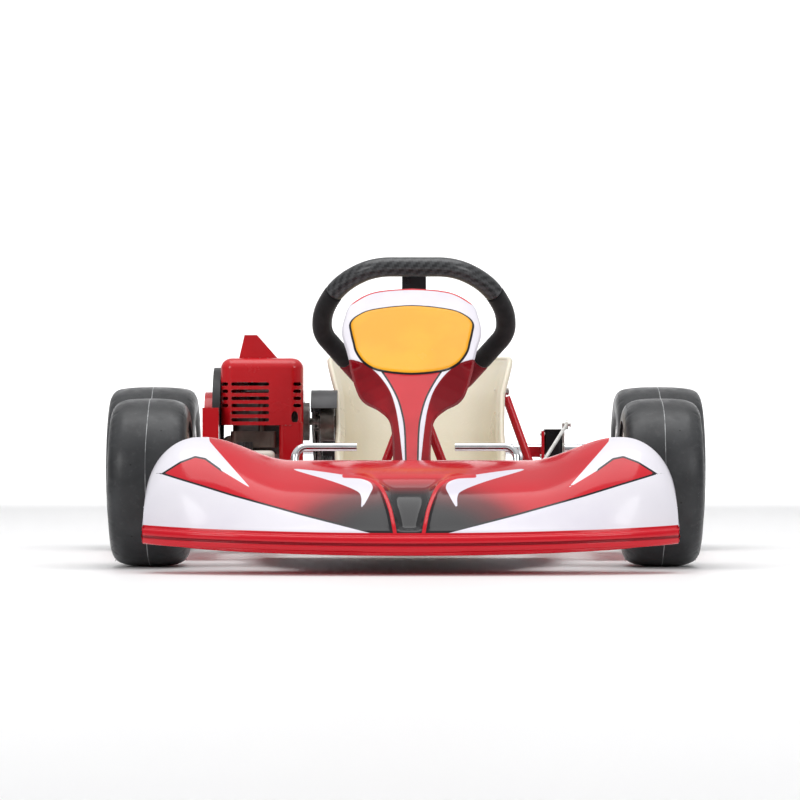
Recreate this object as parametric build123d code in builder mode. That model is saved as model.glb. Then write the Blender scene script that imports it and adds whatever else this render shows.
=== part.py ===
from build123d import *
import os
from math import atan2, cos, pi, radians, sin, sqrt

# A small children's racing kart. Millimetres. +X is the driver's left, +Y the rear, +Z up.
# The origin is on the ground, at the middle of the kart's length and width.

os.makedirs("parts", exist_ok=True)

# ---- Driving dimensions ------------------------------------------------------------------
FRONT_AXLE_Y = -310
WHEELBASE = 780
REAR_AXLE_Y = FRONT_AXLE_Y + WHEELBASE
HALF_LENGTH = 660

FRONT_RADIUS = 127
FRONT_TYRE_HALF = 59
FRONT_HALF_TRACK = 386
REAR_RADIUS = 139.5
REAR_TYRE_HALF = 75
REAR_HALF_TRACK = 435
BEAD_RADIUS = 63.5
FLANGE_RADIUS = 76
FLANGE_THICK = 3.5
CROWN_BEND = 200

RAIL_Z = 52
RAIL_R = 12.5
RAIL_WALL = 2
RAIL_X_FRONT = 200
RAIL_X_MID = 232
RAIL_X_REAR = 205

KINGPIN_X = 262
KINGPIN_R = 5
SPINDLE_R = 8.5
RUNNING = 0.05

COLUMN_X = 13
COLUMN_TILT = 44
COLUMN_LENGTH = 430
COLUMN_R = 9
WHEEL_Z = 357
PITMAN_AT = 74
PITMAN_ARM = 40
PITMAN_SPREAD = 14

AXLE_R = 12.5
BEARING_R = 26
CARRIER_R = 35
CARRIER_X = 205

NOSE_X = 7
NOSE_HALF = 388
NOSE_WALL = 3.5
PANEL_X = 9
PANEL_TILT = 52
SEAT_X = 24
SEAT_WALL = 5

CHAIN_X = -150
CHAIN_PITCH = 7.774
AXLE_TEETH = 54
ENGINE_TEETH = 11
CRANK_Y = 300
CRANK_Z = 219

DISC_X = 252
DISC_R = 60
PEDAL_X = 166
PEDAL_Y = -400
PEDAL_Z = 76
BRAKE_ARM = 40

BOSS_LOW = 100.3
BOSS_HIGH = 153.7
EYE_R = 10
TIE_FLATS = 14
LOOSE_EYE = 7.7
EYE_HALF = 4.5

# ---- Shared geometry ---------------------------------------------------------------------
column_dir = Vector(0, cos(radians(COLUMN_TILT)), sin(radians(COLUMN_TILT)))
column_down = Vector(0, sin(radians(COLUMN_TILT)), -cos(radians(COLUMN_TILT)))
column_foot = Vector(COLUMN_X, 0, WHEEL_Z) - column_dir * COLUMN_LENGTH
pitman_point = column_foot + column_dir * PITMAN_AT + column_down * PITMAN_ARM
TIE_Y = pitman_point.Y
TIE_Z = pitman_point.Z
ARM_TOP = TIE_Z - EYE_HALF - 0.5
TIE_SEAT = PITMAN_AT - EYE_HALF - 0.3
BUSH_AT = 270
BUSH_FOOT = column_foot + column_dir * (BUSH_AT - 20) + column_down * 6
BAR_REAR_Y = 222
BAR_ENDS = ((RAIL_X_MID, -60), (RAIL_X_MID, BAR_REAR_Y))
SEAT_FIXINGS = (
    ((154.3, 350, 270), (1, 0, 0), 10.4, [(170.5, 350, 260), (236, 318, 74)]),
    ((-50, 395.2, 255), (0, 1, 0), 14.3, [(-50, 414, 242), (-52, 500, 190), (-60, 545, 66)]),
)
ENGINE_BOLTS = ((-232, 262), (-212.6, 372))
BAR_POST_X = 147
BAR_POST_Y = -478


def save(piece, name):
    """Label a finished piece and write its STEP file."""
    piece.part.label = name
    export_step(piece.part, f"parts/{name}.step")


def steer_plane(along):
    """Plane across the steering column: x to the left, y up the wheel, z down the column."""
    return Plane(origin=column_foot + column_dir * along, x_dir=(1, 0, 0), z_dir=-column_dir)


def axle_plane(side, x, y, z):
    """Section plane through a wheel: x outward along the axle, y up from the axle's centre."""
    return Plane(origin=(side * x, y, z), x_dir=(side, 0, 0), z_dir=(0, -side, 0))


def rod(points, bend, radius, mode=Mode.ADD):
    """Round bar along straight runs that are joined by arcs of the bend radius."""
    with BuildLine() as route:
        if len(points) == 2:
            Line(*points)
        else:
            FilletPolyline(*points, radius=bend)
    with BuildSketch(Plane(origin=route.line @ 0, z_dir=route.line % 0)) as section:
        Circle(radius)
    sweep(section.sketch, path=route.line, mode=mode)


def block(x, y, z, round_by=0, mode=Mode.ADD):
    """Block between two limits along each axis, with its upright edges rounded."""
    with BuildSketch(Plane.XY.offset(z[0])) as section:
        with Locations(((x[0] + x[1]) / 2, (y[0] + y[1]) / 2)):
            if round_by:
                RectangleRounded(x[1] - x[0], y[1] - y[0], round_by)
            else:
                Rectangle(x[1] - x[0], y[1] - y[0])
    extrude(section.sketch, amount=z[1] - z[0], mode=mode)


def pin(plane, radius, length, mode=Mode.ADD):
    """Cylinder that stands on a plane."""
    with BuildSketch(plane) as section:
        Circle(radius)
    extrude(section.sketch, amount=length, mode=mode)


def hexagon(plane, across_flats, length):
    """Hexagonal bolt head or nut that stands on a plane."""
    with BuildSketch(plane) as section:
        RegularPolygon(across_flats / 2, 6, major_radius=False)
    extrude(section.sketch, amount=length)


def bolt(plane, radius, length, head=None):
    """Hexagon bolt whose shank runs along the plane's normal, its head behind the plane."""
    pin(plane, radius, length)
    hexagon(plane.offset(-radius * 1.2), head or radius * 3.2, radius * 1.2)


def ring(plane, radius, count, start=90):
    """Planes spaced evenly on a circle round a plane's origin."""
    spots = []
    for step in range(count):
        turn = radians(start + 360 * step / count)
        spot = plane.from_local_coords((radius * cos(turn), radius * sin(turn), 0))
        spots.append(Plane(origin=spot, x_dir=plane.x_dir, z_dir=plane.z_dir))
    return spots


def wheel_face(plane, along):
    """Plane across a wheel's axle, at a distance outward from the wheel's middle."""
    return Plane(origin=plane.origin + plane.x_dir * along, x_dir=(0, 0, 1), z_dir=plane.x_dir)


def x_plane(x, y, z, way=1):
    """Plane that looks along the X axis."""
    return Plane(origin=(x, y, z), z_dir=(way, 0, 0))


def z_plane(x, y, z, way=1):
    """Plane that looks along the Z axis."""
    return Plane(origin=(x, y, z), z_dir=(0, 0, way))


# ---- Wheels ------------------------------------------------------------------------------
def tyre(plane, axis, radius, half_width, bead):
    """Hollow slick tyre: a crowned tread, rounded shoulders and two beads."""
    crown = 3
    wall = 6.5
    shoulder = half_width - 19
    side_low = BEAD_RADIUS + 27
    lift = CROWN_BEND * (1 / cos(atan2(crown, shoulder)) - 1)
    outline = [
        (0, radius + lift, CROWN_BEND),
        (-shoulder, radius - crown + lift, 12),
        (-half_width, radius - 22, 14),
        (-half_width, side_low, 10),
        (-bead, FLANGE_RADIUS + 1, 0),
        (-bead, BEAD_RADIUS, 0),
        (-bead + wall, BEAD_RADIUS, 0),
        (-bead + wall, FLANGE_RADIUS + 3, 5),
        (-half_width + wall, side_low + 3, 8),
        (-half_width + wall, radius - 25, 10),
        (-shoulder + 3, radius - crown - wall, 8),
    ]
    outline += [(-x, y, bend) for x, y, bend in reversed(outline[1:])]
    with BuildSketch(plane) as section:
        with BuildLine():
            FilletPolyline(
                *[(x, y) for x, y, bend in outline],
                radius=[bend for x, y, bend in outline],
                close=True,
            )
        make_face()
    revolve(section.sketch, axis=axis)


def rim(plane, axis, bead, web_at, web_hole, bolt_circle):
    """One-piece rim: two flanges, bead seats, a drop centre and a bolted web."""
    wall = 3.5
    well = 54
    seat = bead - 15
    edge = bead + FLANGE_THICK
    with BuildSketch(plane) as section:
        with BuildLine():
            Polyline(
                (-edge, FLANGE_RADIUS),
                (-bead, FLANGE_RADIUS),
                (-bead, BEAD_RADIUS),
                (-seat, BEAD_RADIUS),
                (-seat + 9, well),
                (seat - 9, well),
                (seat, BEAD_RADIUS),
                (bead, BEAD_RADIUS),
                (bead, FLANGE_RADIUS),
                (edge, FLANGE_RADIUS),
                (edge, BEAD_RADIUS - wall),
                (seat + 2, BEAD_RADIUS - wall),
                (seat - 7, well - wall),
                (-seat + 7, well - wall),
                (-seat - 2, BEAD_RADIUS - wall),
                (-edge, BEAD_RADIUS - wall),
                close=True,
            )
        make_face()
        with Locations((web_at, (web_hole + well - 1) / 2)):
            Rectangle(5, well - 1 - web_hole)
    revolve(section.sketch, axis=axis)
    for spot in ring(wheel_face(plane, web_at - 5), bolt_circle, 3):
        pin(spot, 4, 10, Mode.SUBTRACT)


def hub(plane, axis, spans):
    """Turned hub: each span is a start and an end along the axle with an inner and outer radius."""
    with BuildSketch(plane) as section:
        for start, end, inner, outer in spans:
            with Locations(((start + end) / 2, (inner + outer) / 2)):
                Rectangle(end - start, outer - inner)
    revolve(section.sketch, axis=axis)


FRONT_BEAD = 52
REAR_BEAD = 66
FRONT_AXIS = Axis((0, FRONT_AXLE_Y, FRONT_RADIUS), (1, 0, 0))
REAR_AXIS = Axis((0, REAR_AXLE_Y, REAR_RADIUS), (1, 0, 0))

for side, name in ((1, "left"), (-1, "right")):
    at = axle_plane(side, FRONT_HALF_TRACK, FRONT_AXLE_Y, FRONT_RADIUS)
    with BuildPart() as front_tyre:
        tyre(at, FRONT_AXIS, FRONT_RADIUS, FRONT_TYRE_HALF, FRONT_BEAD)
    save(front_tyre, f"front_tyre_{name}")

    with BuildPart() as front_rim:
        rim(at, FRONT_AXIS, FRONT_BEAD, 18.5, 24, 38)
    save(front_rim, f"front_rim_{name}")

    with BuildPart() as front_hub:
        hub(
            at,
            FRONT_AXIS,
            (
                (-45, -35, 17.5, 22),
                (-35, 10, 14, 22),
                (10, 22, 17.5, 23.9),
                (10, 16, 17.5, 46),
            ),
        )
        for spot in ring(wheel_face(at, 8), 38, 3):
            pin(spot, 4, 10, Mode.SUBTRACT)
        hub(at, FRONT_AXIS, ((-45, -35, SPINDLE_R + RUNNING, 17.5), (10, 20, SPINDLE_R + RUNNING, 17.5)))
        for spot in ring(wheel_face(at, 10), 38, 3):
            bolt(spot, 4, 18, 13)
            hexagon(spot.offset(11), 13, 6)
    save(front_hub, f"front_hub_{name}")

with BuildPart() as rear_tyres:
    for side in (1, -1):
        at = axle_plane(side, REAR_HALF_TRACK, REAR_AXLE_Y, REAR_RADIUS)
        tyre(at, REAR_AXIS, REAR_RADIUS, REAR_TYRE_HALF, REAR_BEAD)
save(rear_tyres, "rear_tyres")

with BuildPart() as rear_rims:
    for side in (1, -1):
        at = axle_plane(side, REAR_HALF_TRACK, REAR_AXLE_Y, REAR_RADIUS)
        rim(at, REAR_AXIS, REAR_BEAD, -19.5, 22, 34)
save(rear_rims, "rear_rims")

with BuildPart() as rear_hubs:
    for side in (1, -1):
        at = axle_plane(side, REAR_HALF_TRACK, REAR_AXLE_Y, REAR_RADIUS)
        hub(at, REAR_AXIS, ((-78, -17, AXLE_R, 21.8), (-28, -22, 21, 44)))
        for spot in ring(wheel_face(at, -30), 34, 3):
            pin(spot, 4, 10, Mode.SUBTRACT)
save(rear_hubs, "rear_hubs")

# ---- Stub axles and their bolts ----------------------------------------------------------
for side, name in ((1, "left"), (-1, "right")):
    pivot_x = side * KINGPIN_X
    at = axle_plane(side, FRONT_HALF_TRACK, FRONT_AXLE_Y, FRONT_RADIUS)
    spindle_end = FRONT_HALF_TRACK + 32
    with BuildPart() as stub_axle:
        pin(z_plane(pivot_x, FRONT_AXLE_Y, BOSS_LOW), 14, BOSS_HIGH - BOSS_LOW)
        pin(x_plane(pivot_x, FRONT_AXLE_Y, FRONT_RADIUS, side), 12, 40)
        pin(x_plane(pivot_x, FRONT_AXLE_Y, FRONT_RADIUS, side), SPINDLE_R, spindle_end - KINGPIN_X)
        with BuildSketch(Plane.YZ.offset(pivot_x - 9)):
            with BuildLine():
                Polyline(
                    (FRONT_AXLE_Y + 5, 104),
                    (FRONT_AXLE_Y + 28, 104),
                    (FRONT_AXLE_Y + 48, ARM_TOP - 6),
                    (TIE_Y + 14, ARM_TOP - 6),
                    (TIE_Y + 14, ARM_TOP),
                    (FRONT_AXLE_Y + 52, ARM_TOP),
                    (FRONT_AXLE_Y + 31, 110),
                    (FRONT_AXLE_Y + 5, 110),
                    close=True,
                )
            make_face()
        extrude(amount=18)
        pin(z_plane(pivot_x, FRONT_AXLE_Y, BOSS_LOW), KINGPIN_R + RUNNING, 60, Mode.SUBTRACT)
        pin(z_plane(pivot_x, TIE_Y, ARM_TOP - 10), 4, 20, Mode.SUBTRACT)
    save(stub_axle, f"stub_axle_{name}")

    with BuildPart() as stub_bolts:
        for start in (-84, -74, -64, -54):
            hub(at, FRONT_AXIS, ((start, start + 8.5, SPINDLE_R, 12.5),))
        hub(at, FRONT_AXIS, ((20.3, 21.8, SPINDLE_R, 13),))
        with BuildSketch(wheel_face(at, 21.8)):
            RegularPolygon(12, 6, major_radius=False)
            Circle(SPINDLE_R, mode=Mode.SUBTRACT)
        extrude(amount=9)
        bolt(z_plane(pivot_x, TIE_Y, ARM_TOP + 17, -1), 4, 27, 13)
        with BuildSketch(z_plane(pivot_x, TIE_Y, ARM_TOP - 11)):
            RegularPolygon(6.5, 6, major_radius=False)
            Circle(4, mode=Mode.SUBTRACT)
        extrude(amount=5)
    save(stub_bolts, f"stub_bolts_{name}")

# ---- Tie rods ----------------------------------------------------------------------------
for side, name in ((1, "left"), (-1, "right")):
    inner_x = COLUMN_X + side * PITMAN_SPREAD
    outer_x = side * KINGPIN_X
    inner_eye = Plane(origin=(inner_x, TIE_Y, TIE_Z), x_dir=(1, 0, 0), z_dir=column_dir)
    with BuildPart() as tie_rod:
        pin(inner_eye.offset(-EYE_HALF), EYE_R, 2 * EYE_HALF)
        pin(z_plane(outer_x, TIE_Y, TIE_Z - EYE_HALF), EYE_R + 2, 2 * EYE_HALF)
        pin(x_plane(inner_x + side * 6, TIE_Y, TIE_Z, side), 4, abs(outer_x - inner_x) - 14)
        tube_length = abs(outer_x - inner_x) - 85
        hexagon(x_plane(inner_x + side * 35, TIE_Y, TIE_Z, side), TIE_FLATS, tube_length)
        pin(inner_eye.offset(-20), 4 + RUNNING, 40, Mode.SUBTRACT)
        pin(z_plane(outer_x, TIE_Y, TIE_Z - 20), LOOSE_EYE, 40, Mode.SUBTRACT)
    save(tie_rod, f"tie_rod_{name}")

# ---- Steering ----------------------------------------------------------------------------
with BuildPart() as steering_column:
    pin(steer_plane(COLUMN_LENGTH - 3), COLUMN_R, COLUMN_LENGTH - 37)
    with BuildSketch(steer_plane(TIE_SEAT)):
        Circle(15)
        with Locations((0, -PITMAN_ARM / 2)):
            Rectangle(26, PITMAN_ARM)
        with Locations((0, -PITMAN_ARM)):
            SlotOverall(2 * PITMAN_SPREAD + 20, 20)
    extrude(amount=5)
    for x in (PITMAN_SPREAD, -PITMAN_SPREAD):
        with BuildSketch(steer_plane(TIE_SEAT + 5)):
            with Locations((x, -PITMAN_ARM)):
                Circle(4)
        extrude(amount=15, mode=Mode.SUBTRACT)
save(steering_column, "steering_column")

with BuildPart() as steering_bolts:
    for spot in ring(steer_plane(COLUMN_LENGTH + 3), 22, 3, 30):
        bolt(spot, 3, 18, 9)
    for x in (PITMAN_SPREAD, -PITMAN_SPREAD):
        top = steer_plane(TIE_SEAT + 14)
        spot = Plane(origin=top.from_local_coords((x, -PITMAN_ARM, 0)), x_dir=(1, 0, 0), z_dir=-column_dir)
        bolt(spot, 4, 24, 13)
        with BuildSketch(spot.offset(19)):
            RegularPolygon(6.5, 6, major_radius=False)
            Circle(4, mode=Mode.SUBTRACT)
        extrude(amount=4.5)
save(steering_bolts, "steering_bolts")

with BuildPart() as steering_hub:
    pin(steer_plane(COLUMN_LENGTH - 3), 30, 7)
    pin(steer_plane(COLUMN_LENGTH - 10), 16, 30)
    pin(steer_plane(COLUMN_LENGTH), COLUMN_R, 60, Mode.SUBTRACT)
    for spot in ring(steer_plane(COLUMN_LENGTH), 22, 3, 30):
        pin(spot, 3, 12, Mode.SUBTRACT)
save(steering_hub, "steering_hub")

WHEEL_HALF = [(66, 146.5, 90), (119.5, 109, 120), (146.5, 50, 110), (147.5, 5, 60), (67, -119, 60)]
WHEEL_CORNERS = WHEEL_HALF + [(-x, y, bend) for x, y, bend in reversed(WHEEL_HALF)]


def wheel_loop(radius):
    """Closed bar that follows the steering wheel's rim."""
    middle = steer_plane(COLUMN_LENGTH)
    with BuildLine(middle) as loop:
        FilletPolyline(
            *[(x, y) for x, y, bend in WHEEL_CORNERS],
            radius=[bend for x, y, bend in WHEEL_CORNERS],
            close=True,
        )
    path = loop.wire()
    with BuildSketch(Plane(origin=path @ 0, z_dir=path % 0)) as section:
        Circle(radius)
    sweep(section.sketch, path=path)


with BuildPart() as steering_wheel:
    wheel_loop(5)
    with BuildSketch(steer_plane(COLUMN_LENGTH + 3)):
        Circle(34)
        with Locations((0, 75)):
            Rectangle(38, 142)
        for tip in ((104, -62), (-104, -62)):
            reach = sqrt(tip[0] ** 2 + tip[1] ** 2)
            with Locations(Location((tip[0] / 2, tip[1] / 2), atan2(tip[1], tip[0]) * 180 / pi)):
                Rectangle(reach, 34)
    extrude(amount=6)
    for spot in ring(steer_plane(COLUMN_LENGTH + 5), 22, 3, 30):
        pin(spot, 3, 20, Mode.SUBTRACT)
save(steering_wheel, "steering_wheel")

with BuildPart() as steering_grip:
    wheel_loop(15.5)
    add(steering_wheel.part, mode=Mode.SUBTRACT)
save(steering_grip, "steering_grip")

with BuildPart() as column_bearings:
    with BuildSketch(steer_plane(BUSH_AT + 12)):
        RectangleRounded(44, 34, 6)
        Circle(COLUMN_R + RUNNING, mode=Mode.SUBTRACT)
        with Locations((16, 0), (-16, 0)):
            Circle(3, mode=Mode.SUBTRACT)
    extrude(amount=24)
    with BuildSketch(steer_plane(46)):
        RectangleRounded(36, 34, 5)
    extrude(amount=16)
    pin(steer_plane(50), COLUMN_R + RUNNING, 18, Mode.SUBTRACT)
save(column_bearings, "column_bearings")


# ---- Frame -------------------------------------------------------------------------------
HOOP_Y = -530
TRAY_FRONT = -520


def frame_runs():
    """Centre lines of the frame's tubes, each with its bend radius and its tube's radius."""
    rail = [
        (RAIL_X_FRONT, FRONT_AXLE_Y - 30, RAIL_Z),
        (RAIL_X_MID, -150, RAIL_Z),
        (RAIL_X_MID, 300, RAIL_Z),
        (RAIL_X_REAR, 400, RAIL_Z),
        (RAIL_X_REAR, 560, RAIL_Z),
    ]
    runs = [(rail, 80, RAIL_R), ([(-x, y, z) for x, y, z in rail], 80, RAIL_R)]
    cross = [
        (-229, FRONT_AXLE_Y, 107),
        (-190, FRONT_AXLE_Y, RAIL_Z),
        (190, FRONT_AXLE_Y, RAIL_Z),
        (229, FRONT_AXLE_Y, 107),
    ]
    runs.append((cross, 30, RAIL_R))
    hoop = [
        (-RAIL_X_FRONT + 4, FRONT_AXLE_Y - 20, RAIL_Z),
        (-130, HOOP_Y, RAIL_Z),
        (130, HOOP_Y, RAIL_Z),
        (RAIL_X_FRONT - 4, FRONT_AXLE_Y - 20, RAIL_Z),
    ]
    runs.append((hoop, 60, RAIL_R))
    for y, half, radius in ((-120, 225, 10), (20, 228, RAIL_R), (400, 200, RAIL_R), (545, 200, 10)):
        runs.append(([(-half, y, RAIL_Z), (half, y, RAIL_Z)], 0, radius))
    runs.append(([(-170, PEDAL_Y, RAIL_Z), (170, PEDAL_Y, RAIL_Z)], 0, 10))
    return runs


with BuildPart() as main_frame:
    for points, bend, radius in frame_runs():
        rod(points, bend, radius)
    for side in (1, -1):
        x_back = (side * 236, side * 242)
        block((min(x_back), max(x_back)), (FRONT_AXLE_Y - 18, FRONT_AXLE_Y + 18), (94, 160))
        x_ear = (side * 239, side * 280)
        for low in (94, 154):
            block((min(x_ear), max(x_ear)), (FRONT_AXLE_Y - 18, FRONT_AXLE_Y + 18), (low, low + 6), 8)
        pin(z_plane(side * KINGPIN_X, FRONT_AXLE_Y, 90), KINGPIN_R, 80, Mode.SUBTRACT)
        lean = [(COLUMN_X + side * 84, -120, RAIL_Z), (COLUMN_X + side * 17, BUSH_FOOT.Y, BUSH_FOOT.Z)]
        rod(lean, 0, 7)
        for x in (side * PEDAL_X - 11, side * PEDAL_X + 11):
            with BuildSketch(Plane.YZ.offset(x - 2)):
                with Locations((PEDAL_Y, (RAIL_Z + PEDAL_Z) / 2)):
                    Rectangle(20, PEDAL_Z - RAIL_Z)
                with Locations((PEDAL_Y, PEDAL_Z)):
                    Circle(10)
                    Circle(4, mode=Mode.SUBTRACT)
            extrude(amount=4)
        x_hanger = (side * CARRIER_X - 4, side * CARRIER_X + 4)
        with BuildSketch(Plane.YZ.offset(x_hanger[0])):
            with BuildLine():
                Polyline(
                    (REAR_AXLE_Y - 48, RAIL_Z),
                    (REAR_AXLE_Y + 48, RAIL_Z),
                    (REAR_AXLE_Y + 48, REAR_RADIUS + 26),
                    (REAR_AXLE_Y + 18, REAR_RADIUS + 42),
                    (REAR_AXLE_Y - 18, REAR_RADIUS + 42),
                    (REAR_AXLE_Y - 48, REAR_RADIUS + 26),
                    close=True,
                )
            make_face()
            with Locations((REAR_AXLE_Y, REAR_RADIUS)):
                Circle(CARRIER_R, mode=Mode.SUBTRACT)
        extrude(amount=8)
        rod([(side * RAIL_X_MID, 130, RAIL_Z), (SEAT_X + side * 139, 130, 92)], 0, 6)
        for x, y in BAR_ENDS:
            start = (side * x, y, RAIL_Z)
            rod([start, (side * (x + 34), y, RAIL_Z)], 0, 12)
            rod([(side * (x + 13), y, RAIL_Z), (side * (x + 40), y, RAIL_Z)], 0, 9, Mode.SUBTRACT)
        rod([(side * 100, HOOP_Y, RAIL_Z), (side * 100, HOOP_Y - 45, RAIL_Z)], 0, 12)
        rod([(side * 100, HOOP_Y - 15, RAIL_Z), (side * 100, HOOP_Y - 50, RAIL_Z)], 0, 9, Mode.SUBTRACT)
        pin(z_plane(side * BAR_POST_X, BAR_POST_Y, RAIL_Z), 12, 27)
        pin(z_plane(side * BAR_POST_X, BAR_POST_Y, RAIL_Z + 15), 9, 20, Mode.SUBTRACT)
    pin(z_plane(234, 318, RAIL_Z), 8, 18.5)
    pin(z_plane(-60, 545, RAIL_Z), 6, 11.5)
    block((CARRIER_X + 2, DISC_X - 15), (425, 437), (158, 176))
    block((CARRIER_X + 2, CARRIER_X + 8), (424, 440), (120, 176))
    block((DISC_X - 20, DISC_X - 15), (399, 437), (155, 203))
    pin(x_plane(CARRIER_X, REAR_AXLE_Y, REAR_RADIUS), CARRIER_R, 40, Mode.SUBTRACT)
    for z in (160, 198):
        pin(x_plane(DISC_X - 24, 403, z), 3, 40, Mode.SUBTRACT)
    with BuildSketch(steer_plane(30)):
        with Locations((0, 3)):
            Rectangle(36, 28)
    extrude(amount=26)
    with BuildSketch(steer_plane(BUSH_AT - 12)):
        RectangleRounded(48, 34, 6)
        Circle(COLUMN_R + 3, mode=Mode.SUBTRACT)
        with Locations((16, 0), (-16, 0)):
            Circle(3, mode=Mode.SUBTRACT)
    extrude(amount=5)
    for points, bend, radius in frame_runs():
        rod(points, bend, radius - RAIL_WALL, Mode.SUBTRACT)
save(main_frame, "main_frame")

with BuildPart() as floor_tray:
    with BuildSketch(Plane.XY.offset(RAIL_Z - RAIL_R - 2)):
        with BuildLine():
            Polyline(
                (-190, -345),
                (-122, TRAY_FRONT),
                (122, TRAY_FRONT),
                (190, -345),
                (222, -150),
                (222, 34),
                (-222, 34),
                (-222, -150),
                close=True,
            )
        make_face()
    extrude(amount=2)
save(floor_tray, "floor_tray")

with BuildPart() as bumper_bars:
    low = [(100, HOOP_Y - 16, RAIL_Z), (100, -612, RAIL_Z)]
    rod(low + [(-x, y, z) for x, y, z in reversed(low)], 30, 9)
    high = [
        (BAR_POST_X, BAR_POST_Y, RAIL_Z + 17),
        (BAR_POST_X, BAR_POST_Y, 104),
        (BAR_POST_X, -562, 86),
    ]
    rod(high + [(-x, y, z) for x, y, z in reversed(high)], 18, 9)
    for side in (1, -1):
        bar = [
            (side * (RAIL_X_MID + 14), -60, RAIL_Z),
            (side * 280, -60, RAIL_Z),
            (side * 328, -60, 88),
            (side * 328, BAR_REAR_Y, 88),
            (side * 280, BAR_REAR_Y, RAIL_Z),
            (side * (RAIL_X_MID + 14), BAR_REAR_Y, RAIL_Z),
        ]
        rod(bar, 24, 9)
save(bumper_bars, "bumper_bars")

with BuildPart() as rear_bumper:
    with BuildLine() as loop:
        corners = [(-430, 78), (430, 78), (430, 170), (-430, 170)]
        FilletPolyline(*[(x, HALF_LENGTH - 10, z) for x, z in corners], radius=40, close=True)
    path = loop.wire()
    with BuildSketch(Plane(origin=path @ 0, z_dir=path % 0)) as section:
        Circle(10)
    sweep(section.sketch, path=path)
    for side in (1, -1):
        x = side * RAIL_X_REAR
        rod([(x, 562.3, RAIL_Z), (x, 600, RAIL_Z), (x, HALF_LENGTH - 10, 78)], 20, 9)
save(rear_bumper, "rear_bumper")

# ---- Bodywork ----------------------------------------------------------------------------


def smooth(value):
    """Ease from 0 to 1."""
    value = min(max(value, 0), 1)
    return value * value * (3 - 2 * value)


def nose_section(x, inset):
    """Section of the nose at a distance from its middle, as (y, z) points; inset makes the inside."""
    out = abs(x) / NOSE_HALF
    front = -HALF_LENGTH + 62 * out**2 + 38 * out**8
    rear = -455 - 50 * out**2
    end = max(0, (out - 0.8) / 0.2)
    top = 163 + 34 * smooth((out - 0.45) / 0.33) - 95 * (1 - sqrt(1 - end * end))
    lip = 57 + 9 * out**2
    low = 30 + 12 * out**2
    points = [
        (rear, top),
        (rear - 0.32 * (rear - front), top - 0.16 * (top - lip)),
        (front + 0.30 * (rear - front), lip + 0.52 * (top - lip)),
        (front + 9, lip + 3),
        (front, lip - 8),
        (front + 1, low + 6),
        (front + 10, low),
        (rear, low),
    ]
    if not inset:
        return points
    moves = [(1, -1), (0.5, -1), (0.8, -0.9), (1, -0.6), (1, 0), (1, 0.3), (0.7, -3), (1, -3)]
    return [(y + inset * a, z + inset * b) for (y, z), (a, b) in zip(points, moves)]


def nose_solid(half, inset, mode):
    """Faceted solid through the nose's sections."""
    sections = []
    for step in range(-8, 9):
        x = half * (1 - (1 - abs(step) / 8) ** 1.25) * (1 if step > 0 else -1)
        with BuildSketch(Plane.YZ.offset(NOSE_X + x)) as section:
            with BuildLine():
                Polyline(*nose_section(x, inset), close=True)
            make_face()
        sections.append(section.sketch)
    loft(sections, ruled=True, mode=mode)


with BuildPart() as nose_fairing:
    nose_solid(NOSE_HALF, 0, Mode.ADD)
    nose_solid(NOSE_HALF - NOSE_WALL, NOSE_WALL, Mode.SUBTRACT)
save(nose_fairing, "nose_fairing")

panel_up = Vector(0, cos(radians(PANEL_TILT)), sin(radians(PANEL_TILT)))
panel_out = Vector(0, -sin(radians(PANEL_TILT)), cos(radians(PANEL_TILT)))
panel_foot = Vector(PANEL_X, -395, 150)
PANEL_BOW = 300
PANEL_HALF = ((0, 350), (60, 343), (94, 321), (104, 294), (108, 262), (100, 227), (93, 197),
              (77, 154), (50, 123), (33, 93), (28.5, 39), (29.5, 0))


def panel_point(x, up):
    """Outline point, raised where the bowed panel falls back."""
    return (x, up + 0.78 * (PANEL_BOW - sqrt(PANEL_BOW**2 - x**2)))


with BuildPart() as front_panel:
    with BuildSketch(Plane(origin=panel_foot, x_dir=(1, 0, 0), z_dir=panel_out)):
        with BuildLine():
            right = [panel_point(x, up) for x, up in PANEL_HALF]
            left = [(-x, up) for x, up in right]
            Spline(*right, tangents=((1, 0), (0, -1)))
            Spline(*left, tangents=((-1, 0), (0, -1)))
            Line(right[-1], left[-1])
        make_face()
    extrude(amount=60, both=True)
    with BuildSketch(Plane(origin=panel_foot - panel_up * 10, x_dir=(1, 0, 0), z_dir=panel_up)) as bow:
        with Locations((0, PANEL_BOW)):
            Circle(PANEL_BOW)
            Circle(PANEL_BOW - 3, mode=Mode.SUBTRACT)
    extrude(amount=420, mode=Mode.INTERSECT)
save(front_panel, "front_panel")

with BuildPart() as panel_bracket:
    base = column_foot + column_dir * BUSH_AT - column_down * 17
    tip = panel_foot + panel_up * 248 - panel_out * 4.2
    with BuildSketch(Plane(origin=base, x_dir=(1, 0, 0), z_dir=-column_down)):
        Rectangle(40, 22)
    extrude(amount=3)
    with BuildSketch(Plane(origin=tip, x_dir=(1, 0, 0), z_dir=-panel_out)):
        Rectangle(40, 36)
    extrude(amount=3)
    for x in (-12, 12):
        shift = Vector(x, 0, 0)
        rod([base + shift - column_down * 1, tip + shift - panel_out * 1], 0, 4)
save(panel_bracket, "panel_bracket")

with BuildPart() as side_pods:
    for side in (1, -1):
        outer = [(296, 132), (345, 136), (380, 104), (380, 72), (362, 50), (296, 46)]
        inner = [(290, 129), (344, 133), (377, 103), (377, 73), (361, 53), (290, 49)]
        for points, start, length, mode in ((outer, 98, 394, Mode.ADD), (inner, 95, 388, Mode.SUBTRACT)):
            with BuildSketch(Plane.XZ.offset(start)):
                with BuildLine():
                    Polyline(*[(side * x, z) for x, z in points], close=True)
                make_face()
            extrude(amount=-length, mode=mode)
save(side_pods, "side_pods")

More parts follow.
